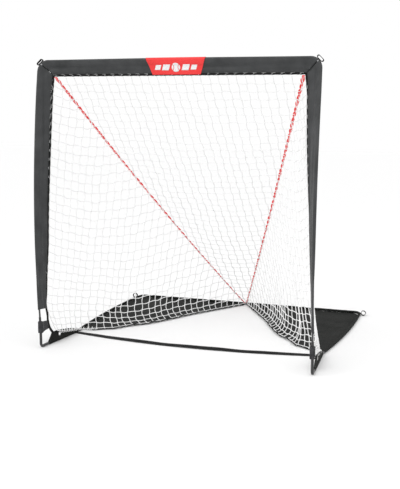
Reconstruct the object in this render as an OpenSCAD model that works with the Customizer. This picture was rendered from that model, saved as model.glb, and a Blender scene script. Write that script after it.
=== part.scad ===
// Folding goal-shaped target net for pitching and shooting practice.
// Springy rods stand in fabric sleeves round the goal mouth, and a base frame of bent tubes and
// rods lies on the ground. A net of two sides and a back runs from the mouth to the middle of the
// back bar. The front frame folds back and down onto the base about a pinned knuckle in each post.
// Millimetres, +Z up, +Y from the mouth towards the back. The origin is on the ground, under the
// middle of the whole goal. Every piece is drawn for the left side, and mirrored for the right.

/* [Goal] */
// Width between the centre lines of the two posts
goal_width = 1226; // [900:1:1900]
// Height of the top bar's centre line above the ground
goal_height = 1252; // [950:1:1900]
// Distance from the posts' feet to the centre line of the back bar
goal_depth = 1124; // [850:1:1700]
// How far the top bar stands back from the feet
lean_back = 48; // [0:1:90]
// How far each post bows forwards at the middle of its height
post_bow = 36; // [15:1:50]
// How far each side rod of the base bows outwards
side_bow = 18; // [8:1:30]

/* [Rods and tubes] */
// Diameter of the springy rods
rod_d = 8; // [6:0.5:9]
// Outer diameter of the bent corner tubes
tube_d = 12; // [12:0.5:13]
// Outer diameter of the elbows that join two rods
elbow_d = 11; // [10.5:0.5:11.5]
// Outer diameter of the ferrule at the foot of each post rod
ferrule_d = 10.4; // [10:0.2:11]
// Radius of the corner tube's bend at the ground, on its centre line
foot_bend_r = 13; // [12:1:25]
// Radius of the top elbows, on their centre line
top_elbow_r = 45; // [30:1:60]
// Radius of the back elbows, on their centre line
back_elbow_r = 35; // [25:1:60]
// Length of tube that a rod is pushed into
socket_len = 40; // [25:1:60]
// Length of the corner tube's leg along the ground, up to its crank
leg_len = 306; // [220:1:380]
// Angle by which the leg points inwards
toe_in = 4.8; // [2:0.1:7]

/* [Folding knuckle] */
// Height of the folding axis above the ground
hinge_z = 95; // [80:1:140]
// Diameter of the knuckle's pin
pin_d = 4; // [3:0.5:5]
// Thickness of the tongue
tongue_t = 5; // [4:0.5:6]
// Thickness of each cheek of the fork
cheek_t = 2.9; // [2:0.1:3.2]

/* [Fabric] */
// Outer radius of the tunnel that a rod lies in
tunnel_r = 7; // [7:0.1:9]
// Thickness of one layer of sleeve fabric
fabric_t = 1.2; // [0.8:0.1:1.2]
// Thickness of the doubled fabric of a flap
flap_t = 2.4; // [1.6:0.1:3]
// Width of a sleeve, from the rod's centre line to its inner edge
flap_w = 66; // [50:1:80]
// Width of a post sleeve at its lower end
flap_foot_w = 45; // [35:1:60]
// Height of the post sleeve's lower end above the ground
sleeve_foot_z = 176; // [160:1:240]
// Width of the hem tape that holds the net
tape_w = 9; // [6:1:14]
// Thickness of the hem tape
tape_t = 3; // [2:0.1:4]
// Angle by which the net pulls the top sleeve back, from the elbows' plane
top_pull = 20; // [5:1:30]
// Thickness of the ground fabric and the ground strap
ground_t = 1.6; // [1:0.1:3]
// Width of the strap that lies across the ground
strap_w = 25; // [15:1:40]
// How far the strap bows towards the mouth
strap_bow = 72; // [30:1:100]

/* [Gusset, wrap and loops] */
// Height of the gusset's front corner above the ground
gusset_h = 50; // [35:1:60]
// Inner diameter of the gusset's eyelet
eyelet_d = 10; // [6:0.5:12]
// Height of the wrap round each knuckle
wrap_h = 50; // [40:1:56]
// Width of the header patch along its upper edge
header_w = 262; // [150:1:400]
// Height of the header patch
header_h = 62; // [45:1:64]
// Distance of the header patch from the middle of the bar
header_x = 13; // [0:1:40]
// Width of the hole in a top corner loop
loop_hole = 8; // [7:0.5:14]
// Outer diameter of a back corner loop
back_loop_d = 26; // [20:1:34]

/* [Net] */
// Thickness of the closed sheet that stands for a net panel
net_t = 1.2; // [1:0.1:2]
// Width of the red seam ribbon
ribbon_w = 6; // [4:1:10]

/* [Hidden] */
clear = 0.3;          // gap between pieces that lie against each other
run = 0.05;           // radial clearance of the knuckle's pin
sliver = 0.2;         // thickness of the end slices that a hull joins
long_fn = 720;        // facets of a full turn on the long, nearly straight bends
half_w = goal_width / 2;
base_z = tunnel_r;    // height of every rod and tube that lies on the ground
rod_r = rod_d / 2;
bore_r = rod_r + clear;
tube_r = tube_d / 2;
elbow_r = elbow_d / 2;
hem_in_r = tube_r + clear;
hem_out_r = tunnel_r;
tunnel_in_r = tunnel_r - fabric_t;

// The post, in a frame that starts at the folding axis and runs up to the top elbow
post_len = sqrt(pow(goal_height - hinge_z, 2) + pow(lean_back, 2));
lean = asin(lean_back / post_len);
chord = post_len - top_elbow_r;
post_R = chord * chord / (8 * post_bow) + post_bow / 2;
post_phi = asin(chord / (2 * post_R));
ferrule_top = 45;
sleeve_foot_h = sleeve_foot_z - hinge_z;
function post_y(h) = post_R - post_bow - sqrt(pow(post_R, 2) - pow(h - chord / 2, 2));
function post_angle(h) = 180 + asin((chord / 2 - h) / post_R);

// The sleeve's flap: at each height, its width and the angle that the net pulls it back to
flap_hs = [sleeve_foot_h, 0.33 * chord, 0.5 * chord, 0.72 * chord, 0.92 * chord];
flap_ws = [flap_foot_w, flap_w, flap_w, flap_w, flap_w];
flap_as = [72, 65, 58, 42, 30];
LAST = len(flap_hs) - 1;
function flap_point(k, r) =
    [-half_w + r * cos(flap_as[k]), post_y(flap_hs[k]) + r * sin(flap_as[k]), flap_hs[k]];

// Points of the top elbow's plane, in the post's frame
function from_top(p) = [p[0], p[1] * cos(post_phi) + p[2] * sin(post_phi),
                        chord - p[1] * sin(post_phi) + p[2] * cos(post_phi)];
function mitre(d) = from_top([-half_w + d, d * sin(top_pull), top_elbow_r - d * cos(top_pull)]);
elbow_mid = top_elbow_r * (1 - cos(45));
corner_d = elbow_mid + 2;

// The base in plan: a heading is an angle from +Y, anticlockwise seen from above
function ahead(h) = [-sin(h), cos(h)];
function left_of(h) = [-cos(h), -sin(h)];
function heading(v) = atan2(-v[0], v[1]);
crank_r = 60;
leg_end = [-half_w, 0] + leg_len * ahead(-toe_in);
rod_end = [-half_w, goal_depth - back_elbow_r];
first_chord = rod_end - leg_end;
first_R = pow(norm(first_chord), 2) / (8 * side_bow) + side_bow / 2;
crank_a = toe_in + heading(first_chord) + asin(norm(first_chord) / (2 * first_R));
rod_start_h = crank_a - toe_in;
rod_start = leg_end + crank_r * (left_of(-toe_in) - left_of(rod_start_h));
side_chord = rod_end - rod_start;
side_psi = rod_start_h - heading(side_chord);
side_R = norm(side_chord) / (2 * sin(side_psi));
rod_end_h = rod_start_h - 2 * side_psi;
back_turn = 90 + rod_end_h;
back_y = rod_end[1] + back_elbow_r * (1 + sin(rod_end_h));
back_x = rod_end[0] + back_elbow_r * cos(rod_end_h);
side_centre = rod_start - side_R * left_of(rod_start_h);
function side_point(f, inset) =
    side_centre + (side_R - inset) * left_of(rod_start_h - 2 * side_psi * f);

front_reach = post_bow / 2 + tunnel_r;
mid_y = (back_y + hem_out_r - front_reach) / 2;

// The net's corners, seen from the mouth's frame on the ground
function from_post(p) = [p[0], p[1] * cos(lean) + p[2] * sin(lean),
                         hinge_z - p[1] * sin(lean) + p[2] * cos(lean)];
seam_top = from_post(mitre(flap_w + 5));
apex = [-ribbon_w, back_y - hem_out_r - 3, base_z + 3];
seam_sag = 22;
function seam_point(t) = seam_top + (apex - seam_top) * t - [0, 0, 4 * seam_sag * t * (1 - t)];
anchor = [leg_end[0] + hem_out_r + 8, leg_end[1] + 12, base_z + 3];
gusset_front = 58;
gusset_corner = 88;
gusset_eye = [147, 31];
gusset_end = leg_len - 4;
gusset_x = -half_w + gusset_corner * sin(toe_in);
net_gap = 1.4;
net_front = [-half_w + flap_foot_w * cos(flap_as[0]) + 6, gusset_corner + 8, gusset_h + 14];
wing_v = [[-532, 358], [-443, 412], [-402, 475], [-333, 548], [-285, 627], [-198, 797]];

LEFT = -1;
RIGHT = 1;

// ---- frames and shared shapes ----

module on_side(side) {
    if (side == RIGHT) mirror([1, 0, 0]) children();
    else children();
}

module on_base(side = LEFT) {
    translate([0, -mid_y, 0]) on_side(side) children();
}

module on_front(side = LEFT) {
    translate([0, -mid_y, hinge_z]) rotate([-lean, 0, 0]) on_side(side) children();
}

module on_top() {
    translate([0, 0, chord]) rotate([-post_phi, 0, 0]) children();
}

module along_post_foot() {
    translate([-half_w, 0, 0]) rotate([post_phi, 0, 0]) children();
}

module on_leg() {
    translate([-half_w, 0, base_z]) rotate([0, 0, -toe_in]) children();
}

module at_heading(point, h) {
    translate([point[0], point[1], base_z]) rotate([0, 0, h]) children();
}

// A profile swept round the Z axis between two angles
module bend(radius, from, to, facets = 96) {
    rotate([0, 0, from]) rotate_extrude(angle = to - from, $fn = facets)
        translate([radius, 0]) children();
}

module post_arc(low, high) {
    translate([-half_w, post_R - post_bow, chord / 2]) rotate([90, 0, 90])
        bend(post_R, post_angle(high), post_angle(low), long_fn) children();
}

// The top elbow's bend, between two angles of its plane: 180 at the post, 90 at the bar
module top_bend(from, to) {
    translate([-half_w + top_elbow_r, 0, 0]) rotate([90, 0, 0])
        bend(top_elbow_r, from, to) children();
}

module side_arc(from, to) {
    at_heading(rod_start, rod_start_h) translate([side_R, 0, 0])
        bend(side_R, 180 - 2 * side_psi * to, 180 - 2 * side_psi * from, long_fn) children();
}

module back_bend(trim = 0) {
    at_heading(rod_end, rod_end_h) translate([back_elbow_r, 0, 0])
        bend(back_elbow_r, 180 - back_turn + trim, 180 - trim) children();
}

module disc(r) {
    circle(r = r, $fn = 48);
}

module rod_y(r, from, to) {
    translate([0, from, 0]) rotate([-90, 0, 0]) cylinder(r = r, h = to - from, $fn = 48);
}

module rod_x(r, from, to) {
    translate([from, 0, 0]) rotate([0, 90, 0]) cylinder(r = r, h = to - from, $fn = 48);
}

// A thin plate through some points
module sheet(points, t) {
    hull() for (p = points) translate(p) cube(t, center = true);
}

// One slice across the post's flap, between two distances from the rod
module flap_slice(k, from, to, t) {
    translate([-half_w, post_y(flap_hs[k]), flap_hs[k]]) rotate([0, 0, flap_as[k]])
        translate([from, -t / 2, 0]) cube([to - from, t, sliver]);
}

// The last slice, along the mitre of the top corner
module mitre_slice(from, to, t) {
    hull() for (d = [from, to]) translate(mitre(d)) cube([sliver, t, sliver], center = true);
}

// ---- base frame ----

module corner_tube_shape(r, extra) {
    translate([-half_w, 0, base_z + foot_bend_r])
        cylinder(r = r, h = hinge_z - 14 - base_z - foot_bend_r + extra, $fn = 48);
    on_leg() {
        translate([0, foot_bend_r, foot_bend_r]) rotate([90, 0, 90])
            bend(foot_bend_r, 180, 270) disc(r);
        rod_y(r, foot_bend_r, leg_len);
        translate([-crank_r, leg_len, 0]) bend(crank_r, 0, crank_a, 360) disc(r);
    }
    at_heading(rod_start, rod_start_h) rod_y(r, 0, socket_len + extra);
}

module corner_tube(side) {
    color([0.11, 0.11, 0.11]) on_base(side) difference() {
        corner_tube_shape(tube_r, 0);
        corner_tube_shape(bore_r, 1);
    }
}

module hinge_fork(side) {
    inner = tongue_t / 2 + run * 3;
    outer = inner + cheek_t;
    color([0.45, 0.45, 0.46]) on_base(side) translate([-half_w, 0, hinge_z]) difference() {
        union() {
            translate([0, 0, -14 - 20]) cylinder(r = rod_r, h = 21, $fn = 48);
            translate([0, 0, -14]) cylinder(r = tube_r, h = 5, $fn = 48);
            for (x = [-outer, inner]) {
                translate([x, -tube_r + 0.5, -10]) cube([cheek_t, tube_d - 1, 10]);
                translate([x, 0, 0]) rotate([0, 90, 0])
                    cylinder(r = tube_r - 0.5, h = cheek_t, $fn = 48);
            }
        }
        rod_x(pin_d / 2 + run, -outer - 1, outer + 1);
    }
}

module hinge_pin(side) {
    face = tongue_t / 2 + run * 3 + cheek_t;
    color([0.6, 0.6, 0.6]) on_base(side) translate([-half_w, 0, hinge_z]) {
        rod_x(pin_d / 2, -face - 0.1, face + 0.1);
        rod_x(pin_d / 2 + 1, face + 0.05, face + 1);
        rod_x(pin_d / 2 + 1, -face - 1, -face - 0.05);
    }
}

module side_rod(side) {
    stop = 3 / (2 * side_psi * side_R * PI / 180);
    color([0.2, 0.2, 0.2]) on_base(side) side_arc(stop, 1 - stop) disc(rod_r);
}

module elbow_wall() {
    difference() {
        disc(elbow_r);
        disc(bore_r);
    }
}

module back_elbow(side) {
    color([0.5, 0.5, 0.5]) on_base(side) {
        at_heading(rod_end, rod_end_h) rotate([90, 0, 0]) linear_extrude(socket_len) elbow_wall();
        back_bend() elbow_wall();
        translate([back_x, back_y, base_z]) rotate([90, 0, 90])
            linear_extrude(socket_len) elbow_wall();
    }
}

module back_rod() {
    end = -back_x - 3;
    color([0.2, 0.2, 0.2]) on_base() translate([0, back_y, base_z]) rod_x(rod_r, -end, end);
}

// The strap's ends are cut along the tunnels on the two legs
module ground_strap() {
    seat = (sqrt(pow(hem_out_r, 2) - pow(hem_out_r - ground_t, 2)) + clear) / cos(toe_in);
    reach = -leg_end[0];
    radius = (reach * reach + strap_bow * strap_bow) / (2 * strap_bow);
    half_angle = asin(reach / radius);
    middle = leg_end[1] - strap_w / 2;
    function leg_x(y) = half_w - y * tan(toe_in) - seat;
    color([0.12, 0.12, 0.12]) on_base() intersection() {
        translate([0, middle + radius - strap_bow, 0])
            bend(radius, 270 - half_angle, 270 + half_angle, long_fn)
                translate([-strap_w / 2, 0]) square([strap_w, ground_t]);
        linear_extrude(ground_t) polygon([
            for (end = [[-1, 1], [-1, -1], [1, -1], [1, 1]])
                let (y = middle + end[1] * (strap_bow + strap_w)) [end[0] * leg_x(y), y]]);
    }
}

// ---- ground fabric ----

module gusset_eye_hole(r, from, to) {
    on_leg() translate([0, gusset_eye[0], gusset_eye[1] - base_z]) rod_x(r, from, to);
}

module gusset(side) {
    rise = tube_r + 0.5;
    color([0.13, 0.14, 0.13]) on_base(side) difference() {
        union() {
            on_leg() {
                rod_y(hem_out_r, gusset_front, gusset_end);
                translate([-flap_t / 2, 0, 0]) rotate([90, 0, 90]) linear_extrude(flap_t)
                    polygon([[gusset_front, rise], [gusset_corner, gusset_h - base_z],
                             [gusset_corner + 55, gusset_h - base_z - 2], [gusset_end, rise]]);
            }
        }
        on_leg() rod_y(hem_in_r, gusset_front - 1, gusset_end + 1);
        gusset_eye_hole(eyelet_d / 2 + 1 + clear, -flap_t, flap_t);
    }
}

module gusset_eyelet(side) {
    flange = flap_t / 2 + clear;
    color([0.3, 0.3, 0.3]) on_base(side) difference() {
        union() {
            gusset_eye_hole(eyelet_d / 2 + 1, -flange, flange);
            gusset_eye_hole(eyelet_d / 2 + 4, -flange - 0.8, -flange);
            gusset_eye_hole(eyelet_d / 2 + 4, flange, flange + 0.8);
        }
        gusset_eye_hole(eyelet_d / 2, -flange - 2, flange + 2);
    }
}

module hem_wall() {
    difference() {
        disc(hem_out_r);
        disc(hem_in_r);
    }
}

module side_hem(side) {
    side_len = 2 * side_psi * side_R * PI / 180;
    seam = 0.3;
    color([0.13, 0.14, 0.13]) on_base(side) {
        side_arc(6 / side_len, 1 - clear / side_len) hem_wall();
        back_bend(seam) hem_wall();
        translate([back_x + clear, back_y, base_z]) rotate([90, 0, 90])
            linear_extrude(10 - clear) hem_wall();
    }
}

module back_hem() {
    end = -back_x - 10 - clear;
    color([0.13, 0.14, 0.13]) on_base() translate([0, back_y, base_z]) difference() {
        rod_x(hem_out_r, -end, end);
        rod_x(hem_in_r, -end - 1, end + 1);
    }
}

module ground_wing(side) {
    inset = sqrt(pow(hem_out_r, 2) - pow(hem_out_r - ground_t, 2)) + clear;
    depth_scale = back_y / 1124;
    width_scale = half_w / 613;
    color([0.15, 0.155, 0.145]) on_base(side) linear_extrude(ground_t) polygon(concat(
        [for (f = [0.04:0.08:1]) side_point(f, inset)],
        [[-half_w + back_elbow_r, back_y - inset], [-10, back_y - inset]],
        [for (i = [len(wing_v) - 1:-1:0])
            [wing_v[i][0] * width_scale, wing_v[i][1] * depth_scale]]));
}

module back_loop(side) {
    r = back_loop_d / 2;
    color([0.1, 0.1, 0.1]) on_base(side)
        translate([-half_w - hem_out_r - clear - r, back_y - back_elbow_r - 6, r + 0.5])
        rotate([-90, 0, 0]) difference() {
            cylinder(r = r, h = 12, $fn = 48);
            translate([0, 0, -1]) cylinder(r = r - 2, h = 14, $fn = 48);
        }
}

// ---- wrap and edge strap at the foot of the sleeve ----

function strap_top() = from_post(flap_point(0, flap_foot_w - tape_w / 2));

module edge_strap(side) {
    p = strap_top();
    half = tape_w / 2;
    mid = [-half_w + 9, 51, hinge_z + 22];
    low = [gusset_x - 1, gusset_corner + 5, gusset_h + clear];
    color([0.1, 0.1, 0.1]) on_base(side) {
        hull() {
            translate(p - [1, half, 2.2]) cube([2, tape_w, sliver]);
            translate(mid - [0, half, 0]) cube([2, tape_w, sliver]);
        }
        hull() {
            translate(mid - [0, half, 0]) cube([2, tape_w, sliver]);
            translate(low - [0, half, 0]) cube([2, tape_w + 4, sliver]);
        }
    }
}

module rod_wrap(side) {
    inner = 8.6;
    outer = inner + 1.6;
    color([0.26, 0.265, 0.27]) on_base(side) translate([-half_w, 0, hinge_z - wrap_h / 2]) difference() {
        union() {
            cylinder(r = outer, h = wrap_h, $fn = 48);
            hull() {
                translate([-1.2, outer - 1, 1]) cube([flap_t, 1, wrap_h - 2]);
                translate([6, 43.5, wrap_h - 8]) cube([flap_t, 1, 4]);
                translate([5, 58, 4]) cube([flap_t, 1, 4]);
            }
        }
        translate([0, 0, -1]) cylinder(r = inner, h = wrap_h + 2, $fn = 48);
    }
}

// ---- net ----

module net_side(side) {
    top = from_post(mitre(flap_w + 1.6)) - [0, 0, 14];
    edge = [for (k = [0:LAST]) from_post(flap_point(k, flap_ws[k] + net_gap))];
    low = [for (p = [wing_v[2], wing_v[4]])
        [p[0] * half_w / 613, p[1] * back_y / 1124, ground_t + 2.5]];
    shift = [-6, -4, -11];
    seam = [for (t = [0, 0.35, 0.7, 0.96]) seam_point(t) + shift];
    color([0.95, 0.95, 0.93]) on_base(side) {
        for (k = [0:LAST - 1]) sheet([edge[k], edge[k + 1], anchor], net_t);
        sheet([edge[LAST], top, anchor], net_t);
        sheet([edge[0], net_front, anchor], net_t);
        sheet([top, seam[1], anchor], net_t);
        sheet([seam[1], low[0], anchor], net_t);
        sheet([seam[1], seam[2], low[0]], net_t);
        sheet([seam[2], low[1], low[0]], net_t);
        sheet([seam[2], seam[3], low[1]], net_t);
    }
}

module net_back() {
    top = from_post(from_top([-half_w + flap_w + 12, (flap_w + net_gap) * sin(top_pull),
        top_elbow_r - (flap_w + net_gap) * cos(top_pull)]));
    shift = [ribbon_w + 1, 2, 0];
    seam = [for (t = [0.35, 0.7, 0.96]) seam_point(t) + shift];
    rows = concat([top], seam);
    color([0.95, 0.95, 0.93]) on_base()
        for (i = [0:len(rows) - 2])
            sheet([for (p = [rows[i], rows[i + 1]]) for (s = [-1, 1]) [p[0] * s, p[1], p[2]]], net_t);
}

module seam_ribbon(side) {
    points = [for (t = [0:0.2:1]) seam_point(t)];
    color([0.93, 0.27, 0.28]) on_base(side)
        for (i = [0:len(points) - 2])
            hull() for (p = [points[i], points[i + 1]])
                translate(p) rotate([0, 0, -40]) cube([ribbon_w, 2, 1.6], center = true);
}

// ---- front frame ----

module hinge_ferrule(side) {
    r = ferrule_d / 2;
    color([0.42, 0.42, 0.43]) on_front(side) along_post_foot() difference() {
        union() {
            translate([0, 0, tube_r + 2.5]) cylinder(r = r, h = ferrule_top - tube_r - 2.5, $fn = 48);
            translate([-tongue_t / 2, -tube_r + 1, 0]) cube([tongue_t, tube_d - 2, tube_r + 4]);
            rod_x(tube_r - 1, -tongue_t / 2, tongue_t / 2);
        }
        translate([0, 0, ferrule_top - 28]) cylinder(r = bore_r + 0.1, h = 40, $fn = 48);
        rod_x(pin_d / 2 + run, -tongue_t, tongue_t);
    }
}

module upright_rod(side) {
    color([0.2, 0.2, 0.2]) on_front(side) post_arc(ferrule_top - 26, chord - 3) disc(rod_r);
}

module top_elbow_shape(r, extra) {
    translate([-half_w, 0, -socket_len - extra]) cylinder(r = r, h = socket_len + extra, $fn = 48);
    top_bend(90, 180) disc(r);
    translate([0, 0, top_elbow_r])
        rod_x(r, -half_w + top_elbow_r, -half_w + top_elbow_r + socket_len + extra);
}

module top_elbow(side) {
    color([0.5, 0.5, 0.5]) on_front(side) on_top() difference() {
        top_elbow_shape(elbow_r, 0);
        top_elbow_shape(bore_r + 0.1, 1);
    }
}

module top_rod() {
    end = half_w - top_elbow_r - 3;
    color([0.2, 0.2, 0.2]) on_front() on_top() translate([0, 0, top_elbow_r])
        rod_x(rod_r, -end, end);
}

module post_tunnel(r, extra) {
    post_arc(sleeve_foot_h - extra, chord) disc(r);
    on_top() top_bend(135 - extra, 180) disc(r);
}

module sleeve_side(side) {
    inner = tunnel_r - 1;
    color([0.22, 0.225, 0.225]) on_front(side) difference() {
        union() {
            post_tunnel(tunnel_r, 0);
            for (k = [0:LAST - 1]) hull() for (i = [k, k + 1])
                flap_slice(i, inner, flap_ws[i] - tape_w - clear, flap_t);
            hull() {
                flap_slice(LAST, inner, flap_w - tape_w - 4 * clear, flap_t);
                translate([-half_w + inner, -flap_t / 2, chord]) cube([1, flap_t, sliver]);
                mitre_slice(corner_d + 3, flap_w - tape_w - 7 * clear, flap_t);
            }
        }
        post_tunnel(tunnel_in_r, 1);
    }
}

module tunnel_wall() {
    difference() {
        disc(tunnel_r);
        disc(tunnel_in_r);
    }
}

// A strip of the top sleeve's flap between two distances from the rod, mitred at both ends
module top_strip(from, to, t) {
    gap = 1.8;
    translate([0, 0, top_elbow_r]) rotate([90 + top_pull, 0, 0])
        linear_extrude(t, center = true) polygon([
            [-half_w + from + gap, -from], [half_w - from - gap, -from],
            [half_w - to - gap, -to], [-half_w + to + gap, -to]]);
}

module sleeve_top() {
    straight = half_w - top_elbow_r;
    wall_d = tunnel_r - 0.8;
    color([0.22, 0.225, 0.225]) on_front() on_top() {
        translate([-straight, 0, top_elbow_r]) rotate([90, 0, 90])
            linear_extrude(2 * straight) tunnel_wall();
        for (side = [LEFT, RIGHT]) on_side(side) top_bend(90, 134.4) tunnel_wall();
        difference() {
            intersection() {
                top_strip(wall_d, flap_w - tape_w - clear, flap_t);
                translate([-half_w + corner_d + 2, -flap_w, -flap_w])
                    cube([goal_width - 2 * corner_d - 4, 2 * flap_w, 2 * flap_w + top_elbow_r]);
            }
            for (side = [LEFT, RIGHT]) on_side(side) top_bend(88, 180) disc(tunnel_in_r + 0.4);
        }
    }
}

module hem_tape_side(side) {
    color([0.09, 0.09, 0.09]) on_front(side) {
        for (k = [0:LAST - 1]) hull() for (i = [k, k + 1])
            flap_slice(i, flap_ws[i] - tape_w, flap_ws[i], tape_t);
        hull() {
            flap_slice(LAST, flap_w - tape_w, flap_w, tape_t);
            mitre_slice(flap_w - tape_w, flap_w, tape_t);
        }
    }
}

module hem_tape_top() {
    color([0.09, 0.09, 0.09]) on_front() on_top() top_strip(flap_w - tape_w, flap_w, tape_t);
}

module header_patch() {
    in_r = tunnel_r + clear;
    out_r = in_r + 1;
    front = tape_t / 2 + clear;
    color([0.93, 0.25, 0.25]) on_front() on_top()
        translate([header_x, 0, top_elbow_r]) rotate([top_pull, 0, 0]) intersection() {
            union() {
                difference() {
                    rod_x(out_r, -header_w / 2, header_w / 2);
                    rod_x(in_r, -header_w, header_w);
                    translate([-header_w, 0, -50]) cube([2 * header_w, 50, 100]);
                    translate([-header_w, -front, -50]) cube([2 * header_w, 50, 50]);
                }
                translate([-header_w / 2, -front - 1, -header_h])
                    cube([header_w, 1, header_h - in_r + 0.4]);
            }
            translate([0, 50, 0]) rotate([90, 0, 0]) linear_extrude(100) polygon([
                [-header_w / 2, out_r], [header_w / 2, out_r],
                [header_w * 0.4, -header_h], [-header_w * 0.4, -header_h]]);
        }
}

module oblong(length, r) {
    for (x = [-length / 2, length / 2]) translate([x, 0]) circle(r = r, $fn = 32);
    square([length, 2 * r], center = true);
}

module top_loop(side) {
    r = loop_hole / 2 + 1.6;
    out = tunnel_r + clear + r;
    color([0.1, 0.1, 0.1]) on_front(side) on_top() translate([-half_w + top_elbow_r, 6, 0])
        rotate([90, 45, 0]) translate([-top_elbow_r - out, 0, 0]) rotate([0, 0, 90])
        linear_extrude(12) difference() {
            oblong(20, r);
            oblong(20, loop_hole / 2);
        }
}

corner_tube(LEFT);  // corner_tube_left
corner_tube(RIGHT);  // corner_tube_right
hinge_fork(LEFT);  // hinge_fork_left
hinge_fork(RIGHT);  // hinge_fork_right
hinge_pin(LEFT);  // hinge_pin_left
hinge_pin(RIGHT);  // hinge_pin_right
side_rod(LEFT);  // side_rod_left
side_rod(RIGHT);  // side_rod_right
back_elbow(LEFT);  // back_elbow_left
back_elbow(RIGHT);  // back_elbow_right
back_rod();
ground_strap();
gusset(LEFT);  // gusset_left
gusset(RIGHT);  // gusset_right
gusset_eyelet(LEFT);  // gusset_eyelet_left
gusset_eyelet(RIGHT);  // gusset_eyelet_right
side_hem(LEFT);  // side_hem_left
side_hem(RIGHT);  // side_hem_right
back_hem();
ground_wing(LEFT);  // ground_wing_left
ground_wing(RIGHT);  // ground_wing_right
back_loop(LEFT);  // back_loop_left
back_loop(RIGHT);  // back_loop_right
edge_strap(LEFT);  // edge_strap_left
edge_strap(RIGHT);  // edge_strap_right
rod_wrap(LEFT);  // rod_wrap_left
rod_wrap(RIGHT);  // rod_wrap_right
net_side(LEFT);  // net_left
net_side(RIGHT);  // net_right
net_back();
seam_ribbon(LEFT);  // seam_ribbon_left
seam_ribbon(RIGHT);  // seam_ribbon_right
hinge_ferrule(LEFT);  // hinge_ferrule_left
hinge_ferrule(RIGHT);  // hinge_ferrule_right
upright_rod(LEFT);  // upright_rod_left
upright_rod(RIGHT);  // upright_rod_right
top_elbow(LEFT);  // top_elbow_left
top_elbow(RIGHT);  // top_elbow_right
top_rod();
sleeve_side(LEFT);  // sleeve_left
sleeve_side(RIGHT);  // sleeve_right
sleeve_top();
hem_tape_side(LEFT);  // hem_tape_left
hem_tape_side(RIGHT);  // hem_tape_right
hem_tape_top();
header_patch();
top_loop(LEFT);  // top_loop_left
top_loop(RIGHT);  // top_loop_right
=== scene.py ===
# %% [markdown]
# # A folding goal net, built round its CAD frame
# The object is a goal-shaped target net: springy rods in fabric sleeves round a square mouth,
# a white net that runs back to one point, and a frame of tubes and rods on the ground.
# The CAD model holds every size, so this lesson starts by loading it. The rods, tubes and the
# folding knuckles are shown as they are. Everything made of cloth or twine is modelled again
# here, because a closed solid can't show a weave, a fold or a mesh.

# %% Load the CAD frame
import math

import bmesh
import bpy
from mathutils import Matrix, Vector, noise


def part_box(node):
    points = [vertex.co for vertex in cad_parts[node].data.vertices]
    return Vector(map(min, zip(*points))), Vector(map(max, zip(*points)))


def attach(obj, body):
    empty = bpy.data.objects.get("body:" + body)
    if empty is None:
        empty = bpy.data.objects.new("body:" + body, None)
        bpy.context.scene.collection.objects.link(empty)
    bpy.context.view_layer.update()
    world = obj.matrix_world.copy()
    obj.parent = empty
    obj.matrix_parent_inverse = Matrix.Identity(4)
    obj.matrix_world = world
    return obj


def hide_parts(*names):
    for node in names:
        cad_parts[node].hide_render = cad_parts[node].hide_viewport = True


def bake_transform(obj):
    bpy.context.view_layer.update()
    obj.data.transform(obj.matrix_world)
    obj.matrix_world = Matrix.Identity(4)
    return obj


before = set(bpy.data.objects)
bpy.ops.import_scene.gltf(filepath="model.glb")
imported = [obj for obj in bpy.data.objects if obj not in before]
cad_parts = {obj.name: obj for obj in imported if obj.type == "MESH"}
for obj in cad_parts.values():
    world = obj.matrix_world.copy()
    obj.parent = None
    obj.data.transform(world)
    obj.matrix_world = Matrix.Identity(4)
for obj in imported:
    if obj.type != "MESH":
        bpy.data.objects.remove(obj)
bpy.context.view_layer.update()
scene = bpy.context.scene

# %% [markdown]
# ## The camera, the floor and the light
# The camera stands in front of the goal, to its right, at about chest height, and looks slightly
# down. A long lens keeps the posts nearly parallel. The goal stands on a pale floor in an even
# white room. A broad key light from the upper left and a soft box on the right give it soft
# contact shadows.

# %% Camera
CAMERA_PLACE = (1.371, -4.008, 1.098)
CAMERA_TURN = 0.343
CAMERA_DIP = 0.160
camera_data = bpy.data.cameras.new("camera")
camera_data.lens = 67.0
camera_data.sensor_width = 36.0
camera = bpy.data.objects.new("camera", camera_data)
camera.location = CAMERA_PLACE
camera.rotation_euler = (math.pi / 2 - CAMERA_DIP, 0, CAMERA_TURN)
scene.collection.objects.link(camera)
scene.camera = camera
scene.view_settings.view_transform = "Standard"
print("camera", tuple(camera.location), "lens", camera_data.lens)

# %% Floor and light
FLOOR_SIZE = 30.0
FLOOR_GAP = 0.0004


def plain_finish(name, colour, roughness):
    """A finish of one colour, for what isn't part of the object."""
    finish = bpy.data.materials.new(name)
    finish.use_nodes = True
    shader = finish.node_tree.nodes["Principled BSDF"]
    shader.inputs["Base Color"].default_value = (*colour, 1)
    shader.inputs["Roughness"].default_value = roughness
    shader.inputs["Specular IOR Level"].default_value = 0.1
    return finish


def link_mesh(name, bm, finish):
    """Turns a bmesh into an object with one finish."""
    mesh = bpy.data.meshes.new(name)
    bm.to_mesh(mesh)
    bm.free()
    mesh.materials.append(finish)
    piece = bpy.data.objects.new(name, mesh)
    scene.collection.objects.link(piece)
    return piece


floor_bm = bmesh.new()
bmesh.ops.create_grid(floor_bm, x_segments=1, y_segments=1, size=FLOOR_SIZE / 2)
bmesh.ops.translate(floor_bm, verts=floor_bm.verts, vec=(0, 0, -FLOOR_GAP))
floor = link_mesh("studio_floor", floor_bm, plain_finish("pale_floor", (0.80, 0.80, 0.80), 0.8))

world = bpy.data.worlds.new("white_room")
world.use_nodes = True
world.node_tree.nodes["Background"].inputs["Color"].default_value = (1, 1, 1, 1)
world.node_tree.nodes["Background"].inputs["Strength"].default_value = 1.0
scene.world = world

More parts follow.
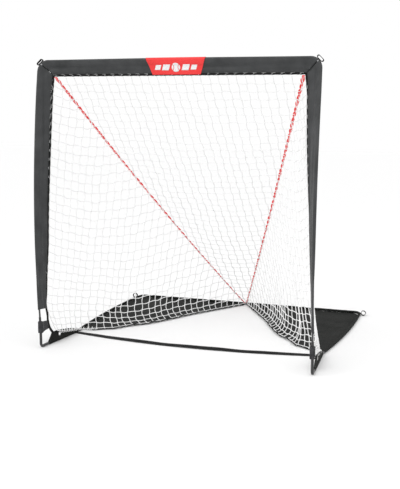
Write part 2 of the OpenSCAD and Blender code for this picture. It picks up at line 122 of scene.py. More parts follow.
LAMPS = (("soft_key", "SUN", 1.25, math.radians(50), (-2.4, -3.2, 3.6)),
         ("soft_box", "AREA", 30.0, 3.0, (2.6, -2.2, 2.4)))
for lamp_name, kind, energy, spread, place in LAMPS:
    lamp_data = bpy.data.lights.new(lamp_name, kind)
    lamp_data.energy = energy
    setattr(lamp_data, "angle" if kind == "SUN" else "size", spread)
    lamp = bpy.data.objects.new(lamp_name, lamp_data)
    lamp.location = place
    lamp.rotation_euler = (Vector((0, 0, 0.5)) - Vector(place)).to_track_quat("-Z", "Y").to_euler()
    scene.collection.objects.link(lamp)
print("floor at", -FLOOR_GAP, "with a broad key light and a soft box")

# %% [markdown]
# ## The goal's driving sizes
# Every soft piece follows a rod, so the rods' paths are worked out once, from a few sizes and
# from where the CAD nodes are. The posts bow forwards as an arc. The front frame leans back a
# little, and the top corners lie in a plane that follows the end of that arc. All pieces are
# drawn for the left side and mirrored for the right.

# %% Paths of the front frame


def middle(node):
    """The middle of a CAD node's box."""
    low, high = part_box(node)
    return (low + high) / 2


pin = middle("hinge_pin_left")
HALF_W, FOOT_Y, HINGE_Z = -pin.x, pin.y, pin.z
GOAL_HEIGHT, LEAN_BACK, POST_BOW, TOP_ELBOW_R = 1.252, 0.048, 0.036, 0.045
TUNNEL_R = middle("back_hem").z
FLAP_W, FLAP_FOOT_W, TAPE_W, TAPE_T = 0.066, 0.045, 0.009, 0.003
TOP_PULL = math.radians(20)
post_len = math.hypot(GOAL_HEIGHT - HINGE_Z, LEAN_BACK)
LEAN = math.asin(LEAN_BACK / post_len)
CHORD = post_len - TOP_ELBOW_R
POST_R = CHORD ** 2 / (8 * POST_BOW) + POST_BOW / 2
POST_PHI = math.asin(CHORD / (2 * POST_R))
SLEEVE_FOOT = 0.176 - HINGE_Z
FLAP_STEPS = (SLEEVE_FOOT, 0.33 * CHORD, 0.5 * CHORD, 0.72 * CHORD, 0.92 * CHORD)
FLAP_WIDTHS = (FLAP_FOOT_W, FLAP_W, FLAP_W, FLAP_W, FLAP_W)
FLAP_ANGLES = (72, 65, 58, 42, 30)


def post_y(h):
    """How far the post's arc lies behind the line from the knuckle to the top elbow."""
    return POST_R - POST_BOW - math.sqrt(POST_R ** 2 - (h - CHORD / 2) ** 2)


def from_post(x, y, h):
    """A point of the post's frame, which leans back from the knuckle, in the goal's frame."""
    return Vector((x, FOOT_Y + y * math.cos(LEAN) + h * math.sin(LEAN),
                   HINGE_Z - y * math.sin(LEAN) + h * math.cos(LEAN)))


def from_top(x, y, z):
    """A point of the top elbows' plane in the goal's frame."""
    return from_post(x, y * math.cos(POST_PHI) + z * math.sin(POST_PHI),
                     CHORD - y * math.sin(POST_PHI) + z * math.cos(POST_PHI))


def between(value, steps, values):
    """Reads a value from a short list of steps, in straight lines between them."""
    if value <= steps[0]:
        return values[0]
    for low, high, a, b in zip(steps, steps[1:], values, values[1:]):
        if value <= high:
            return a + (b - a) * (value - low) / (high - low)
    return values[-1]


def flap_point(h, reach):
    """The point at height h that lies reach away from the post's rod, along the pulled-back flap."""
    angle = math.radians(between(h, FLAP_STEPS, FLAP_ANGLES))
    return from_post(-HALF_W + reach * math.cos(angle), post_y(h) + reach * math.sin(angle), h)


def flap_share(h):
    """The flap's width at height h, as a share of its full width."""
    return between(h, FLAP_STEPS, FLAP_WIDTHS) / FLAP_W


def mitre_point(d):
    """A point of the diagonal seam at the top corner, d in from the outer corner each way."""
    return from_top(-HALF_W + d, d * math.sin(TOP_PULL), TOP_ELBOW_R - d * math.cos(TOP_PULL))


def top_point(x, reach):
    """The point of the top flap under the bar at x, reach away from the rod."""
    return from_top(x, reach * math.sin(TOP_PULL), TOP_ELBOW_R - reach * math.cos(TOP_PULL))


def smooth(t):
    """Eases from 0 to 1."""
    t = min(max(t, 0.0), 1.0)
    return t * t * (3 - 2 * t)


print("lean", round(math.degrees(LEAN), 2), "post arc radius", round(POST_R, 3))

# %% [markdown]
# ## Shared effects for the finishes
# Cloth shows three things that a flat colour lacks: the threads of its weave, soft patches where
# it is rubbed or creased, and small pits in the thread. Several finishes need the first two, so
# they are made once as node groups. The weave is the product of two sine waves, one along the
# threads of each direction, because that makes threads that pass over and under each other.

# %% Node helpers


def put(tree, kind, **values):
    """Adds a node. A value goes to the input of that name, or to the node's own setting."""
    made = tree.nodes.new(kind)
    for key, value in values.items():
        name = key.replace("_", " ").title()
        if name in made.inputs:
            made.inputs[name].default_value = value
        else:
            setattr(made, key, value)
    return made


def group_tree(name, inputs, outputs):
    """An empty node group with float sockets, and a vector named Vector as its first input."""
    tree = bpy.data.node_groups.new(name, "ShaderNodeTree")
    tree.interface.new_socket("Vector", in_out="INPUT", socket_type="NodeSocketVector")
    for label, value in inputs.items():
        socket = tree.interface.new_socket(label, in_out="INPUT", socket_type="NodeSocketFloat")
        socket.default_value = value
    for label in outputs:
        tree.interface.new_socket(label, in_out="OUTPUT", socket_type="NodeSocketFloat")
    return tree, tree.nodes.new("NodeGroupInput"), tree.nodes.new("NodeGroupOutput")


def maths(tree, operation, a, b=None, c=None):
    """A math node on two sockets or numbers. Returns its output."""
    made = tree.nodes.new("ShaderNodeMath")
    made.operation = operation
    for socket, value in zip(made.inputs, (a, b, c)):
        if value is None:
            continue
        if isinstance(value, bpy.types.NodeSocket):
            tree.links.new(value, socket)
        else:
            socket.default_value = value
    return made.outputs[0]


# %% The weave and the wear
weave_tree, weave_in, weave_out = group_tree("woven_threads", {"Threads": 1200.0}, ("Height",))
axes = put(weave_tree, "ShaderNodeSeparateXYZ")
weave_tree.links.new(weave_in.outputs["Vector"], axes.inputs[0])
waves = []
for axis in ("X", "Y"):
    turn = maths(weave_tree, "MULTIPLY", axes.outputs[axis], weave_in.outputs["Threads"])
    waves.append(maths(weave_tree, "SINE", maths(weave_tree, "MULTIPLY", turn, math.pi)))
crossing = maths(weave_tree, "MULTIPLY", waves[0], waves[1])
weave_tree.links.new(maths(weave_tree, "MULTIPLY_ADD", crossing, 0.5, 0.5),
                     weave_out.inputs["Height"])

wear_tree, wear_in, wear_out = group_tree("soft_patches", {"Scale": 9.0, "Fine": 140.0},
                                          ("Patches", "Grain"))
for label, socket, detail in (("Patches", "Scale", 3.0), ("Grain", "Fine", 5.0)):
    cloud = put(wear_tree, "ShaderNodeTexNoise", detail=detail, roughness=0.55)
    wear_tree.links.new(wear_in.outputs["Vector"], cloud.inputs["Vector"])
    wear_tree.links.new(wear_in.outputs[socket], cloud.inputs["Scale"])
    wear_tree.links.new(cloud.outputs["Fac"], wear_out.inputs[label])
print("node groups:", weave_tree.name, wear_tree.name)

# %% [markdown]
# ## The finishes
# A finish mixes a dark and a light tone by the soft patches, paints shade into the gaps between the
# threads, and lifts the threads with a bump. The cloth pieces carry their own UV map in metres, so the
# threads have the same size on every piece. The metal and rod finishes read Object coordinates, because
# the CAD nodes have no UV map.

# %% Cloth finishes


def new_finish(name):
    """An empty finish, its node tree and its shader."""
    finish = bpy.data.materials.new(name)
    finish.use_nodes = True
    return finish, finish.node_tree, finish.node_tree.nodes["Principled BSDF"]


def two_shades(tree, factor, dark, light, top):
    """A ramp from dark to light over the patches. Returns its colour."""
    shades = put(tree, "ShaderNodeValToRGB")
    for stop, position, colour in zip(shades.color_ramp.elements, (0.3, top), (dark, light)):
        stop.position = position
        stop.color = (*colour, 1)
    tree.links.new(factor, shades.inputs[0])
    return shades.outputs[0]


def add_surface(tree, shader, rough, height, strength, lift):
    """Links the roughness, and a bump of the given strength and lift, to the shader."""
    tree.links.new(rough, shader.inputs["Roughness"])
    bump = put(tree, "ShaderNodeBump", strength=strength, distance=lift)
    tree.links.new(height, bump.inputs["Height"])
    tree.links.new(bump.outputs[0], shader.inputs["Normal"])


def cloth_finish(name, dark, light, threads, roughness, lift=0.0003, sheen=0.1, patches=9.0,
                 shine=0.3):
    """A woven finish. dark and light are its shades, threads the count per metre."""
    finish, tree, shader = new_finish(name)
    shader.inputs["Sheen Weight"].default_value = sheen
    shader.inputs["Sheen Roughness"].default_value = 0.4
    shader.inputs["Specular IOR Level"].default_value = shine
    uv = put(tree, "ShaderNodeUVMap", uv_map="cloth")
    place = put(tree, "ShaderNodeTexCoord")
    weave = put(tree, "ShaderNodeGroup", node_tree=weave_tree)
    weave.inputs["Threads"].default_value = threads
    tree.links.new(uv.outputs[0], weave.inputs["Vector"])
    wear = put(tree, "ShaderNodeGroup", node_tree=wear_tree)
    wear.inputs["Scale"].default_value = patches
    tree.links.new(place.outputs["Object"], wear.inputs["Vector"])
    # Painted shade: the base colour is multiplied by the weave's height, so the low gaps between the
    # threads come out darker.
    thread_gap_shade = put(tree, "ShaderNodeMix", data_type="RGBA", blend_type="MULTIPLY")
    thread_gap_shade.inputs[0].default_value = 0.45
    tree.links.new(two_shades(tree, wear.outputs["Patches"], dark, light, 0.72), thread_gap_shade.inputs[6])
    tree.links.new(weave.outputs["Height"], thread_gap_shade.inputs[7])
    tree.links.new(thread_gap_shade.outputs[2], shader.inputs["Base Color"])
    rough = maths(tree, "MULTIPLY_ADD", wear.outputs["Grain"], 0.25, roughness - 0.12)
    height = maths(tree, "ADD", weave.outputs["Height"], wear.outputs["Grain"])
    add_surface(tree, shader, rough, height, 0.6, lift)
    return finish


sleeve_cloth = cloth_finish("sleeve_cloth", (0.029, 0.031, 0.032), (0.055, 0.057, 0.059), 1400, 0.5,
                            sheen=0.05, patches=14.0)
ground_cloth = cloth_finish("ground_cloth", (0.010, 0.011, 0.010), (0.020, 0.021, 0.019), 1100, 0.75,
                            sheen=0.0, shine=0.1)
header_cloth = cloth_finish("header_cloth", (0.86, 0.035, 0.035), (0.94, 0.055, 0.055), 1400, 0.6)
print_ink = cloth_finish("print_ink", (0.84, 0.84, 0.84), (0.93, 0.93, 0.93), 1400, 0.5, sheen=0.0)
strap_webbing = cloth_finish("strap_webbing", (0.006, 0.006, 0.006), (0.015, 0.015, 0.015), 640,
                             0.6, lift=0.0006, sheen=0.0, patches=40.0, shine=0.12)
wrap_cloth = cloth_finish("wrap_cloth", (0.030, 0.031, 0.033), (0.075, 0.075, 0.080), 900, 0.85,
                          lift=0.0008, patches=60.0, shine=0.15)
red_ribbon = cloth_finish("red_ribbon", (0.93, 0.040, 0.040), (0.97, 0.065, 0.065), 1500, 0.5,
                          patches=30.0)
print("cloth finishes:", len(bpy.data.materials) - 1)

# %% Twine, thread, tube and rod finishes


def solid_finish(name, dark, light, roughness, metallic=0.0, scale=60.0, lift=0.0002, coat=0.0,
                 stretch=(1, 1, 1)):
    """A finish for twine, rods and metal, from noise on Object coordinates."""
    finish, tree, shader = new_finish(name)
    shader.inputs["Metallic"].default_value = metallic
    shader.inputs["Coat Weight"].default_value = coat
    place = put(tree, "ShaderNodeTexCoord")
    turned = put(tree, "ShaderNodeMapping")
    turned.inputs["Scale"].default_value = stretch
    tree.links.new(place.outputs["Object"], turned.inputs[0])
    wear = put(tree, "ShaderNodeGroup", node_tree=wear_tree)
    wear.inputs["Scale"].default_value = scale
    wear.inputs["Fine"].default_value = scale * 14
    tree.links.new(turned.outputs[0], wear.inputs["Vector"])
    tree.links.new(two_shades(tree, wear.outputs["Patches"], dark, light, 0.7),
                   shader.inputs["Base Color"])
    rough = maths(tree, "MULTIPLY_ADD", wear.outputs["Patches"], 0.3, roughness - 0.15)
    add_surface(tree, shader, rough, wear.outputs["Grain"], 0.5, lift)
    return finish


net_twine = solid_finish("net_twine", (0.75, 0.75, 0.75), (0.82, 0.82, 0.82), 0.75, scale=40)
black_thread = solid_finish("black_thread", (0.012, 0.012, 0.012), (0.03, 0.03, 0.03), 0.7, scale=200)
black_paint = solid_finish("black_paint", (0.010, 0.010, 0.011), (0.020, 0.020, 0.021), 0.42,
                           coat=0.15, scale=45)
grey_glass = solid_finish("rod_glass_fibre", (0.030, 0.030, 0.032), (0.055, 0.055, 0.058), 0.4,
                          scale=25, stretch=(1, 1, 0.1))
zinc = solid_finish("zinc_plate", (0.36, 0.36, 0.37), (0.55, 0.55, 0.56), 0.38, metallic=1.0, scale=70)
pale_ring = solid_finish("eyelet_plate", (0.62, 0.62, 0.62), (0.80, 0.80, 0.80), 0.35, metallic=1.0,
                         scale=150)
CAD_FINISHES = {"corner_tube": black_paint, "hinge_fork": zinc, "hinge_pin": zinc,
                "hinge_ferrule": black_paint, "side_rod": grey_glass,
                "back_rod": grey_glass, "top_rod": grey_glass, "upright_rod": grey_glass,
                "back_elbow": zinc, "top_elbow": zinc, "gusset_eyelet": pale_ring}
for node_name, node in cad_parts.items():
    for start, finish in CAD_FINISHES.items():
        if node_name.startswith(start):
            node.material_slots[0].material = finish
print("finishes in all:", len(bpy.data.materials))

# %% [markdown]
# ## Making cloth from a grid
# A sleeve, a hem or a flap is one sheet that is folded round something. The plainest start is a
# flat grid with the sheet's own two directions, which is then put in place point by point by a
# formula. The grid's corners keep their flat place in a UV map, measured in metres, so the weave
# follows the cloth. Solidify gives it its thickness afterwards.

# %% Cloth helpers
WELD = 1e-6


def cloth_grid(across, along, flat, place):
    """A grid of across by along faces, with the flat size flat, put in place by place(u, v)."""
    bm = bmesh.new()
    bmesh.ops.create_grid(bm, x_segments=across, y_segments=along, size=0.5)
    uv = bm.loops.layers.uv.new("cloth")
    for face in bm.faces:
        for loop in face.loops:
            loop[uv].uv = ((loop.vert.co.x + 0.5) * flat[0], (loop.vert.co.y + 0.5) * flat[1])
    for vert in bm.verts:
        vert.co = place(vert.co.x + 0.5, vert.co.y + 0.5)
    bmesh.ops.remove_doubles(bm, verts=bm.verts, dist=WELD)
    return bm


def mirrored(bm):
    """Turns a left piece into its right one."""
    bmesh.ops.scale(bm, verts=bm.verts, vec=(-1, 1, 1))
    bmesh.ops.reverse_faces(bm, faces=bm.faces)
    return bm


def thicken(piece, thickness, offset=0.0):
    """Gives a sheet its thickness."""
    wall = piece.modifiers.new("thickness", "SOLIDIFY")
    wall.thickness = thickness
    wall.offset = offset
    return piece


def make_piece(name, bm, finish, body, nodes=()):
    """Links a piece, shades it smooth, and says what it rides on and stands for."""
    piece = link_mesh(name, bm, finish)
    piece.data.shade_smooth()
    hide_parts(*nodes)
    if body:
        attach(piece, body)
    print(name, len(piece.data.polygons), "faces")
    return piece


SIDES = (("left", -1), ("right", 1))


def pair(name, build, finish, body, label="_cloth", stands=True):
    """Builds a left piece and its mirrored right one. Each stands for the CAD node of its name,
    unless stands is off."""
    made = []
    for side, sign in SIDES:
        bm = build(sign)
        if sign > 0:
            mirrored(bm)
        nodes = [f"{name}_{side}"] if stands else ()
        made.append(make_piece(f"{name}_{side}{label}", bm, finish, body, nodes))
    return made


# %% [markdown]
# ## The sleeves
# Each sleeve is one strip of cloth, folded in half over its rod, with both edges sewn into a
# hem tape on the inside of the mouth. The net pulls the flap backwards, so the strip bulges at
# the rod and runs thin and slightly rippled to the tape. The side sleeves end at the top in a
# mitre, where a diagonal seam joins them to the top sleeve. The section is worked out in two
# directions: along the flap, from the rod to the tape, and across it, from back to front.

# %% Section of a sleeve
CLOTH_T = 0.0011
FLAP_HALF_T = 0.0013
BULGE_R = TUNNEL_R - CLOTH_T / 2
BULGE_REACH = 0.042
FLAP_CLOTH_W = FLAP_W - TAPE_W - 0.0002
SLEEVE_FLAT_W = 2 * FLAP_CLOTH_W + math.pi * BULGE_R
TURN_SHARE = math.pi * BULGE_R / SLEEVE_FLAT_W
SIDE_WAY = Vector((-0.4, -1, 0))
TOP_WAY = Vector((0, -1, 0.3))
SIDE_SEED, TOP_SEED = 3.0, 20.0
RIPPLE_SPAN = 1.1


def flap_half(d):
    """Half the sleeve's thickness at distance d from the rod: full over the rod, thin at the tape."""
    return FLAP_HALF_T + (BULGE_R - FLAP_HALF_T) * (1 - smooth(d / BULGE_REACH))


def section(u):
    """The folded strip's (distance along the flap, height across it) at u, from front edge to back."""
    flat = (1 - TURN_SHARE) / 2
    if u < flat:
        d = FLAP_CLOTH_W * (1 - u / flat)
        return d, flap_half(d)
    if u > 1 - flat:
        d = FLAP_CLOTH_W * (u - 1 + flat) / flat
        return d, -flap_half(d)
    angle = math.pi * (u - flat) / TURN_SHARE
    return -BULGE_R * math.sin(angle), BULGE_R * math.cos(angle)


def ripple(d, s, seed):
    """Soft folds that run along a flap. They die out over the rod and at the tape."""
    room = smooth(d / 0.03) * (1 - 0.75 * smooth((d - 0.035) / 0.022))
    long_fold = noise.noise(Vector((d * 52, s * 3.1, seed)))
    short_fold = noise.noise(Vector((d * 30, s * 11.0, seed + 7)))
    return room * (0.0062 * long_fold + 0.0034 * short_fold)


# %% Side sleeves
SLEEVE_STEPS = 150
ELBOW_SHARE = 0.12
MITRE_GAP = 0.0004


def sleeve_lines(v):
    """The rod's centre and the flap's inner edge at share v of a side sleeve's length."""
    low = v / (1 - ELBOW_SHARE)
    if low <= 1:
        h = SLEEVE_FOOT + (FLAP_STEPS[-1] - SLEEVE_FOOT) * low
        return from_post(-HALF_W, post_y(h), h), flap_point(h, FLAP_W * flap_share(h))
    t = (v - 1 + ELBOW_SHARE) / ELBOW_SHARE
    h_top = FLAP_STEPS[-1]
    arc = TOP_ELBOW_R * math.pi / 4
    run = h_top + (CHORD - h_top + arc) * t
    if run <= CHORD:
        centre = from_post(-HALF_W, post_y(run), run)
    else:
        turn = (run - CHORD) / TOP_ELBOW_R
        centre = from_top(-HALF_W + TOP_ELBOW_R * (1 - math.cos(turn)), 0, TOP_ELBOW_R * math.sin(turn))
    return centre, flap_point(h_top, FLAP_W).lerp(mitre_point(FLAP_W) + Vector((-MITRE_GAP, 0, 0)), t)


def place_on_flap(centre, edge, forward, d, across):
    """A point d along the flap from centre to edge, and across it towards forward."""
    reach = edge - centre
    side = reach.normalized()
    up = (forward - side * forward.dot(side)).normalized()
    share = reach.length / FLAP_W
    along = d if d < 0 else d * share
    return centre + side * along + up * across


def side_sleeve(sign):
    """One side sleeve as a folded strip."""
    def place(u, v):
        d, across = section(u)
        centre, edge = sleeve_lines(v)
        fold = ripple(d, v * RIPPLE_SPAN, SIDE_SEED + sign) if d > 0 else 0.0
        return place_on_flap(centre, edge, SIDE_WAY, d, across + fold)
    return cloth_grid(48, SLEEVE_STEPS, (SLEEVE_FLAT_W, CHORD - SLEEVE_FOOT), place)


for sleeve in pair("sleeve", side_sleeve, sleeve_cloth, "front_frame"):
    thicken(sleeve, CLOTH_T)

# %% Top sleeve
TOP_STEPS = 150
TOP_ELBOW_SHARE = 0.04


def top_lines(v):
    """The bar's centre and the flap's inner edge at share v of the top sleeve, from the left mitre."""
    if v > 0.5:
        centre, edge = top_lines(1 - v)
        return Vector((-centre.x, *centre.yz)), Vector((-edge.x, *edge.yz))
    if v < TOP_ELBOW_SHARE:
        turn = math.pi / 4 * (1 + v / TOP_ELBOW_SHARE)
        centre = from_top(-HALF_W + TOP_ELBOW_R * (1 - math.cos(turn)), 0, TOP_ELBOW_R * math.sin(turn))
    else:
        half = HALF_W - TOP_ELBOW_R
        centre = from_top(-half * (1 - (v - TOP_ELBOW_SHARE) / (0.5 - TOP_ELBOW_SHARE)), 0, TOP_ELBOW_R)
    inner = HALF_W - FLAP_W - MITRE_GAP
    return centre, top_point(-inner * (1 - 2 * v), FLAP_W)


def top_sleeve():
    """The top sleeve as a folded strip."""
    def place(u, v):
        d, across = section(u)
        centre, edge = top_lines(v)
        fold = ripple(d, v * RIPPLE_SPAN, TOP_SEED) if d > 0 else 0.0
        return place_on_flap(centre, edge, TOP_WAY, d, across + fold)
    return cloth_grid(48, TOP_STEPS, (SLEEVE_FLAT_W, 2 * HALF_W - FLAP_W), place)


sleeve = make_piece("sleeve_top_cloth", top_sleeve(), sleeve_cloth, "front_frame",
                    ["sleeve_top"])
thicken(sleeve, CLOTH_T)

# %% [markdown]
# ## The hem tapes and their stitches
# A hem tape is a strong band that closes the sleeve's edges and carries the net. It is a flat
# band with round edges, swept along the same two lines as the sleeve, a little thicker than
# the cloth. The sewing shows as a row of short thread stitches just outside the tape. Each
# stitch is a stretched little ball, because it is repeated hundreds of times.

# %% Band helpers
BAND_SIDES = 16


def flat_section(u, width, thickness):
    """The section of a flat band with round edges: (across its width, through its thickness)."""
    c, s = math.cos(2 * math.pi * u), math.sin(2 * math.pi * u)
    return (math.copysign(abs(c) ** 0.35, c) * width / 2,
            math.copysign(abs(s) ** 0.6, s) * thickness / 2)


def close_ends(bm):
    """Caps the open ends of a tube or band, and points its faces outwards."""
    bmesh.ops.holes_fill(bm, edges=[edge for edge in bm.edges if edge.is_boundary])
    bmesh.ops.recalc_face_normals(bm, faces=bm.faces)
    return bm


def band(steps, length, width, thickness, frame_at):
    """A flat band. frame_at(v) gives its centre, the way of its width, the way its face looks,
    and a scale for its width."""
    def place(u, v):
        across, through = flat_section(u, width, thickness)
        centre, side, face, scale = frame_at(v)
        return centre + side * across * scale + face * through
    return close_ends(cloth_grid(BAND_SIDES, steps, (2 * width, length), place))


def stitch_row(bm, points, radius=0.00042):
    """Adds one stitch between each two points that follow each other, with a gap between them."""
    for a, b in zip(points, points[1:]):
        along = b - a
        turn = along.to_track_quat("X", "Z").to_matrix().to_4x4()
        size = Matrix.Diagonal((along.length * 0.36, radius, radius, 1))
        bmesh.ops.create_icosphere(bm, subdivisions=1, radius=1.0,
                                   matrix=Matrix.Translation((a + b) / 2) @ turn @ size)


# %% Hem tapes
TAPE_PULL = 0.0005
NET_PITCH = 0.038


def tape(lines, way, length):
    """A hem tape along the inner edge of a sleeve, pulled a little by each lashing."""
    def place(u, v):
        across, through = flat_section(u, TAPE_W, TAPE_T)
        pull = TAPE_PULL * math.sin(2 * math.pi * v * length / NET_PITCH)
        return place_on_flap(*lines(v), way, FLAP_W - TAPE_W / 2 + across + pull, through)
    return close_ends(cloth_grid(BAND_SIDES, 240, (2 * TAPE_W, length), place))


pair("hem_tape", lambda sign: tape(sleeve_lines, SIDE_WAY, CHORD - SLEEVE_FOOT), strap_webbing,
     "front_frame")
make_piece("hem_tape_top_cloth", tape(top_lines, TOP_WAY, 2 * (HALF_W - FLAP_W)), strap_webbing,
           "front_frame", ["hem_tape_top"])

# %% Stitches beside the tapes
STITCH_STEP = 0.0046
STITCH_ROWS = (0.0035, 0.0070)


def tape_stitches(lines, way, length, seed):
    """The two rows of stitches beside a hem tape."""
    bm = bmesh.new()
    count = int(length / STITCH_STEP)
    for inset in STITCH_ROWS:
        d = FLAP_CLOTH_W - inset
        points = [place_on_flap(*lines(0.004 + 0.992 * i / count), way, d, flap_half(d)
                                + ripple(d, (0.004 + 0.992 * i / count) * RIPPLE_SPAN, seed)
                                + CLOTH_T / 2 + 0.0001) for i in range(count + 1)]
        stitch_row(bm, points)
    return bm


pair("tape_stitches",
     lambda sign: tape_stitches(sleeve_lines, SIDE_WAY, CHORD - SLEEVE_FOOT, SIDE_SEED + sign),
     black_thread, "front_frame", "", False)
make_piece("tape_stitches_top", tape_stitches(top_lines, TOP_WAY, 2 * (HALF_W - FLAP_W), TOP_SEED),
           black_thread, "front_frame")

# %% [markdown]
# ## The header patch
# A red patch wraps the front of the top sleeve and tapers to its lower edge. It is one sheet
# that lies a millimetre above the sleeve and follows the same soft folds. Its print is plain
# and generic: a ball between slanted bars. Each printed shape starts flat, as a small grid, and
# is laid on the patch by the same function, so the ink follows the cloth.

# %% Header patch
HEADER_X = middle("header_patch").x
HEADER_W = 0.262
HEADER_TAPER = 0.2
HEADER_DROP = 0.0615
HEADER_LIFT = CLOTH_T / 2 + 0.0010
HEADER_TURN = math.radians(86)
HEADER_ARC = HEADER_TURN * (BULGE_R + HEADER_LIFT)


def on_header(x, reach, lift=0.0):
    """A point of the patch at x, reach down from the rod. A negative reach goes up over the rod."""
    v = 0.5 + x / (2 * (HALF_W - FLAP_W / 2 - TOP_ELBOW_R / 4))
    centre, edge = top_lines(v)
    edge = top_point(x, FLAP_W)
    centre = Vector((x, *centre.yz))
    radius = BULGE_R + HEADER_LIFT + lift
    if reach < 0:
        turn = -reach / (BULGE_R + HEADER_LIFT)
        return place_on_flap(centre, edge, TOP_WAY, -radius * math.sin(turn), radius * math.cos(turn))
    across = flap_half(reach) + ripple(reach, v * RIPPLE_SPAN, TOP_SEED) + HEADER_LIFT + lift
    return place_on_flap(centre, edge, TOP_WAY, reach, max(across, TAPE_T / 2 + 0.0016 + lift))


def header():
    """The patch as one sheet."""
    def place(u, v):
        x = HEADER_X + (u - 0.5) * HEADER_W * (1 - HEADER_TAPER * v)
        return on_header(x, v * (HEADER_ARC + HEADER_DROP) - HEADER_ARC)
    return cloth_grid(90, 30, (HEADER_W, HEADER_ARC + HEADER_DROP), place)


patch = make_piece("header_patch_cloth", header(), header_cloth, "front_frame",
                   ["header_patch"])
thicken(patch, 0.0009)

# %% Print on the header patch
PRINT_LIFT = 0.0007
BALL_R, BALL_REACH = 0.0185, 0.0315
BAR_SLANT = 0.35


def printed(across, along, shape, lift):
    """A printed shape: shape(u, v) gives its flat (x, reach) on the patch."""
    return cloth_grid(across, along, (0.04, 0.04), lambda u, v: on_header(*shape(u, v), lift))


def ball_shape(u, v):
    """A disc: u goes round it and v outwards."""
    return (HEADER_X + BALL_R * v * math.cos(2 * math.pi * u),
            BALL_REACH + BALL_R * v * math.sin(2 * math.pi * u))


def seam_shape(side):
    """A curved seam on the ball's left or right half."""
    def shape(u, v):
        angle = (v - 0.5) * 1.9
        radius = BALL_R * (1.02 + 0.13 * (u - 0.5))
        return (HEADER_X + side * (BALL_R * 1.5 - radius * math.cos(angle)),
                BALL_REACH + radius * math.sin(angle) * 0.92)
    return shape


def bar_shape(x, width, height):
    """A slanted bar."""
    def shape(u, v):
        rise = (v - 0.5) * height
        return HEADER_X + x + (u - 0.5) * width - BAR_SLANT * rise, BALL_REACH + rise
    return shape


def add_part(bm, part):
    """Adds one bmesh to another and frees it."""
    mesh = bpy.data.meshes.new("part")
    part.to_mesh(mesh)
    bm.from_mesh(mesh)
    part.free()
    bpy.data.meshes.remove(mesh)


ink = printed(40, 6, ball_shape, PRINT_LIFT)
for x, width, height in ((-0.078, 0.024, 0.020), (-0.043, 0.030, 0.024), (0.043, 0.030, 0.024),
                         (0.078, 0.024, 0.020)):
    add_part(ink, printed(8, 6, bar_shape(x, width, height), PRINT_LIFT))
thicken(make_piece("header_print", ink, print_ink, "front_frame"), 0.0002)
seams = bmesh.new()
for side in (-1, 1):
    add_part(seams, printed(2, 14, seam_shape(side), PRINT_LIFT + 0.0003))
thicken(make_piece("header_print_seams", seams, header_cloth, "front_frame"), 0.0002)

# %% [markdown]
# ## The webbing loops
# A short loop of webbing is sewn to each corner, for a peg or a cord. Each is a band swept round
# a closed line: an oblong at the top corners and a ring at the back corners. The band's width
# stands front to back, as the strap is sewn into the seam.

# %% Loops
LOOP_W, LOOP_T = 0.012, 0.0026


def oblong(v, half_length, radius):
    """A point and the outward way of an oblong's outline at v of one turn."""
    straight, bend = 2 * half_length, math.pi * radius
    s = (v % 1.0) * 2 * (straight + bend)
    flip = 1
    if s >= straight + bend:
        s -= straight + bend
        flip = -1
    if s < straight:
        return flip * (s - half_length), flip * radius, (0.0, flip)
    angle = (s - straight) / radius
    way = (math.sin(angle) * flip, math.cos(angle) * flip)
    return flip * half_length + radius * way[0], radius * way[1], way


def top_loop(sign):
    """The oblong loop outside a top elbow."""
    radius = 0.004 + LOOP_T / 2
    out = TOP_ELBOW_R + TUNNEL_R + 0.0003 + 0.0056
    corner = Vector((-HALF_W + TOP_ELBOW_R, 0, 0)) + Vector((-1, 0, 1)).normalized() * out
    way_y = from_top(0, 1, 0) - from_top(0, 0, 0)

    def frame_at(v):
        a, b, way = oblong(v, 0.010, radius)
        flat = corner + Vector((1, 0, 1)).normalized() * a + Vector((-1, 0, 1)).normalized() * b
        tip = flat + Vector((1, 0, 1)).normalized() * way[0] + Vector((-1, 0, 1)).normalized() * way[1]
        centre = from_top(*flat)
        return centre, way_y, (from_top(*tip) - centre).normalized(), 1 + 0.08 * math.sin(9 * v)
    return band(64, 0.07, LOOP_W, LOOP_T, frame_at)


def back_loop(sign):
    """The ring at a back corner of the base."""
    low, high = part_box("back_loop_left")
    centre = (low + high) / 2
    ring_r = (high.z - low.z) / 2 - LOOP_T / 2

    def frame_at(v):
        a, b, way = oblong(v, 0.0006, ring_r - 0.0006)
        face = Vector((way[0], 0, way[1]))
        return centre + Vector((a, 0, b)), Vector((0, 1, 0.06 * way[0])), face, 1 + 0.06 * math.sin(7 * v)
    return band(64, 0.08, LOOP_W, LOOP_T, frame_at)


pair("top_loop", top_loop, strap_webbing, "front_frame")
pair("back_loop", back_loop, strap_webbing, "base")

# %% [markdown]
# ## Lines on the ground
# The base is a line in plan: a leg that points a little inwards, a short crank outwards, a side
# rod that bows, an elbow and the back bar. The hems, the wings, the strap and the lower edge of
# the net all follow it, so the line is worked out here once more from its few sizes.

# %% Paths of the base
GOAL_DEPTH, SIDE_BOW, BACK_ELBOW_R = 1.124, 0.018, 0.035
LEG_LEN, TOE_IN, CRANK_R = 0.306, math.radians(4.8), 0.060
BASE_Z = TUNNEL_R
GROUND_T = 0.0016


def ahead(turn):
    """The way a heading points, with y away from the mouth."""
    return Vector((-math.sin(turn), math.cos(turn), 0))


def left_of(turn):
    """The way to the left of a heading."""
    return Vector((-math.cos(turn), -math.sin(turn), 0))


def heading(way):
    """The heading of a way on the ground."""
    return math.atan2(-way.x, way.y)


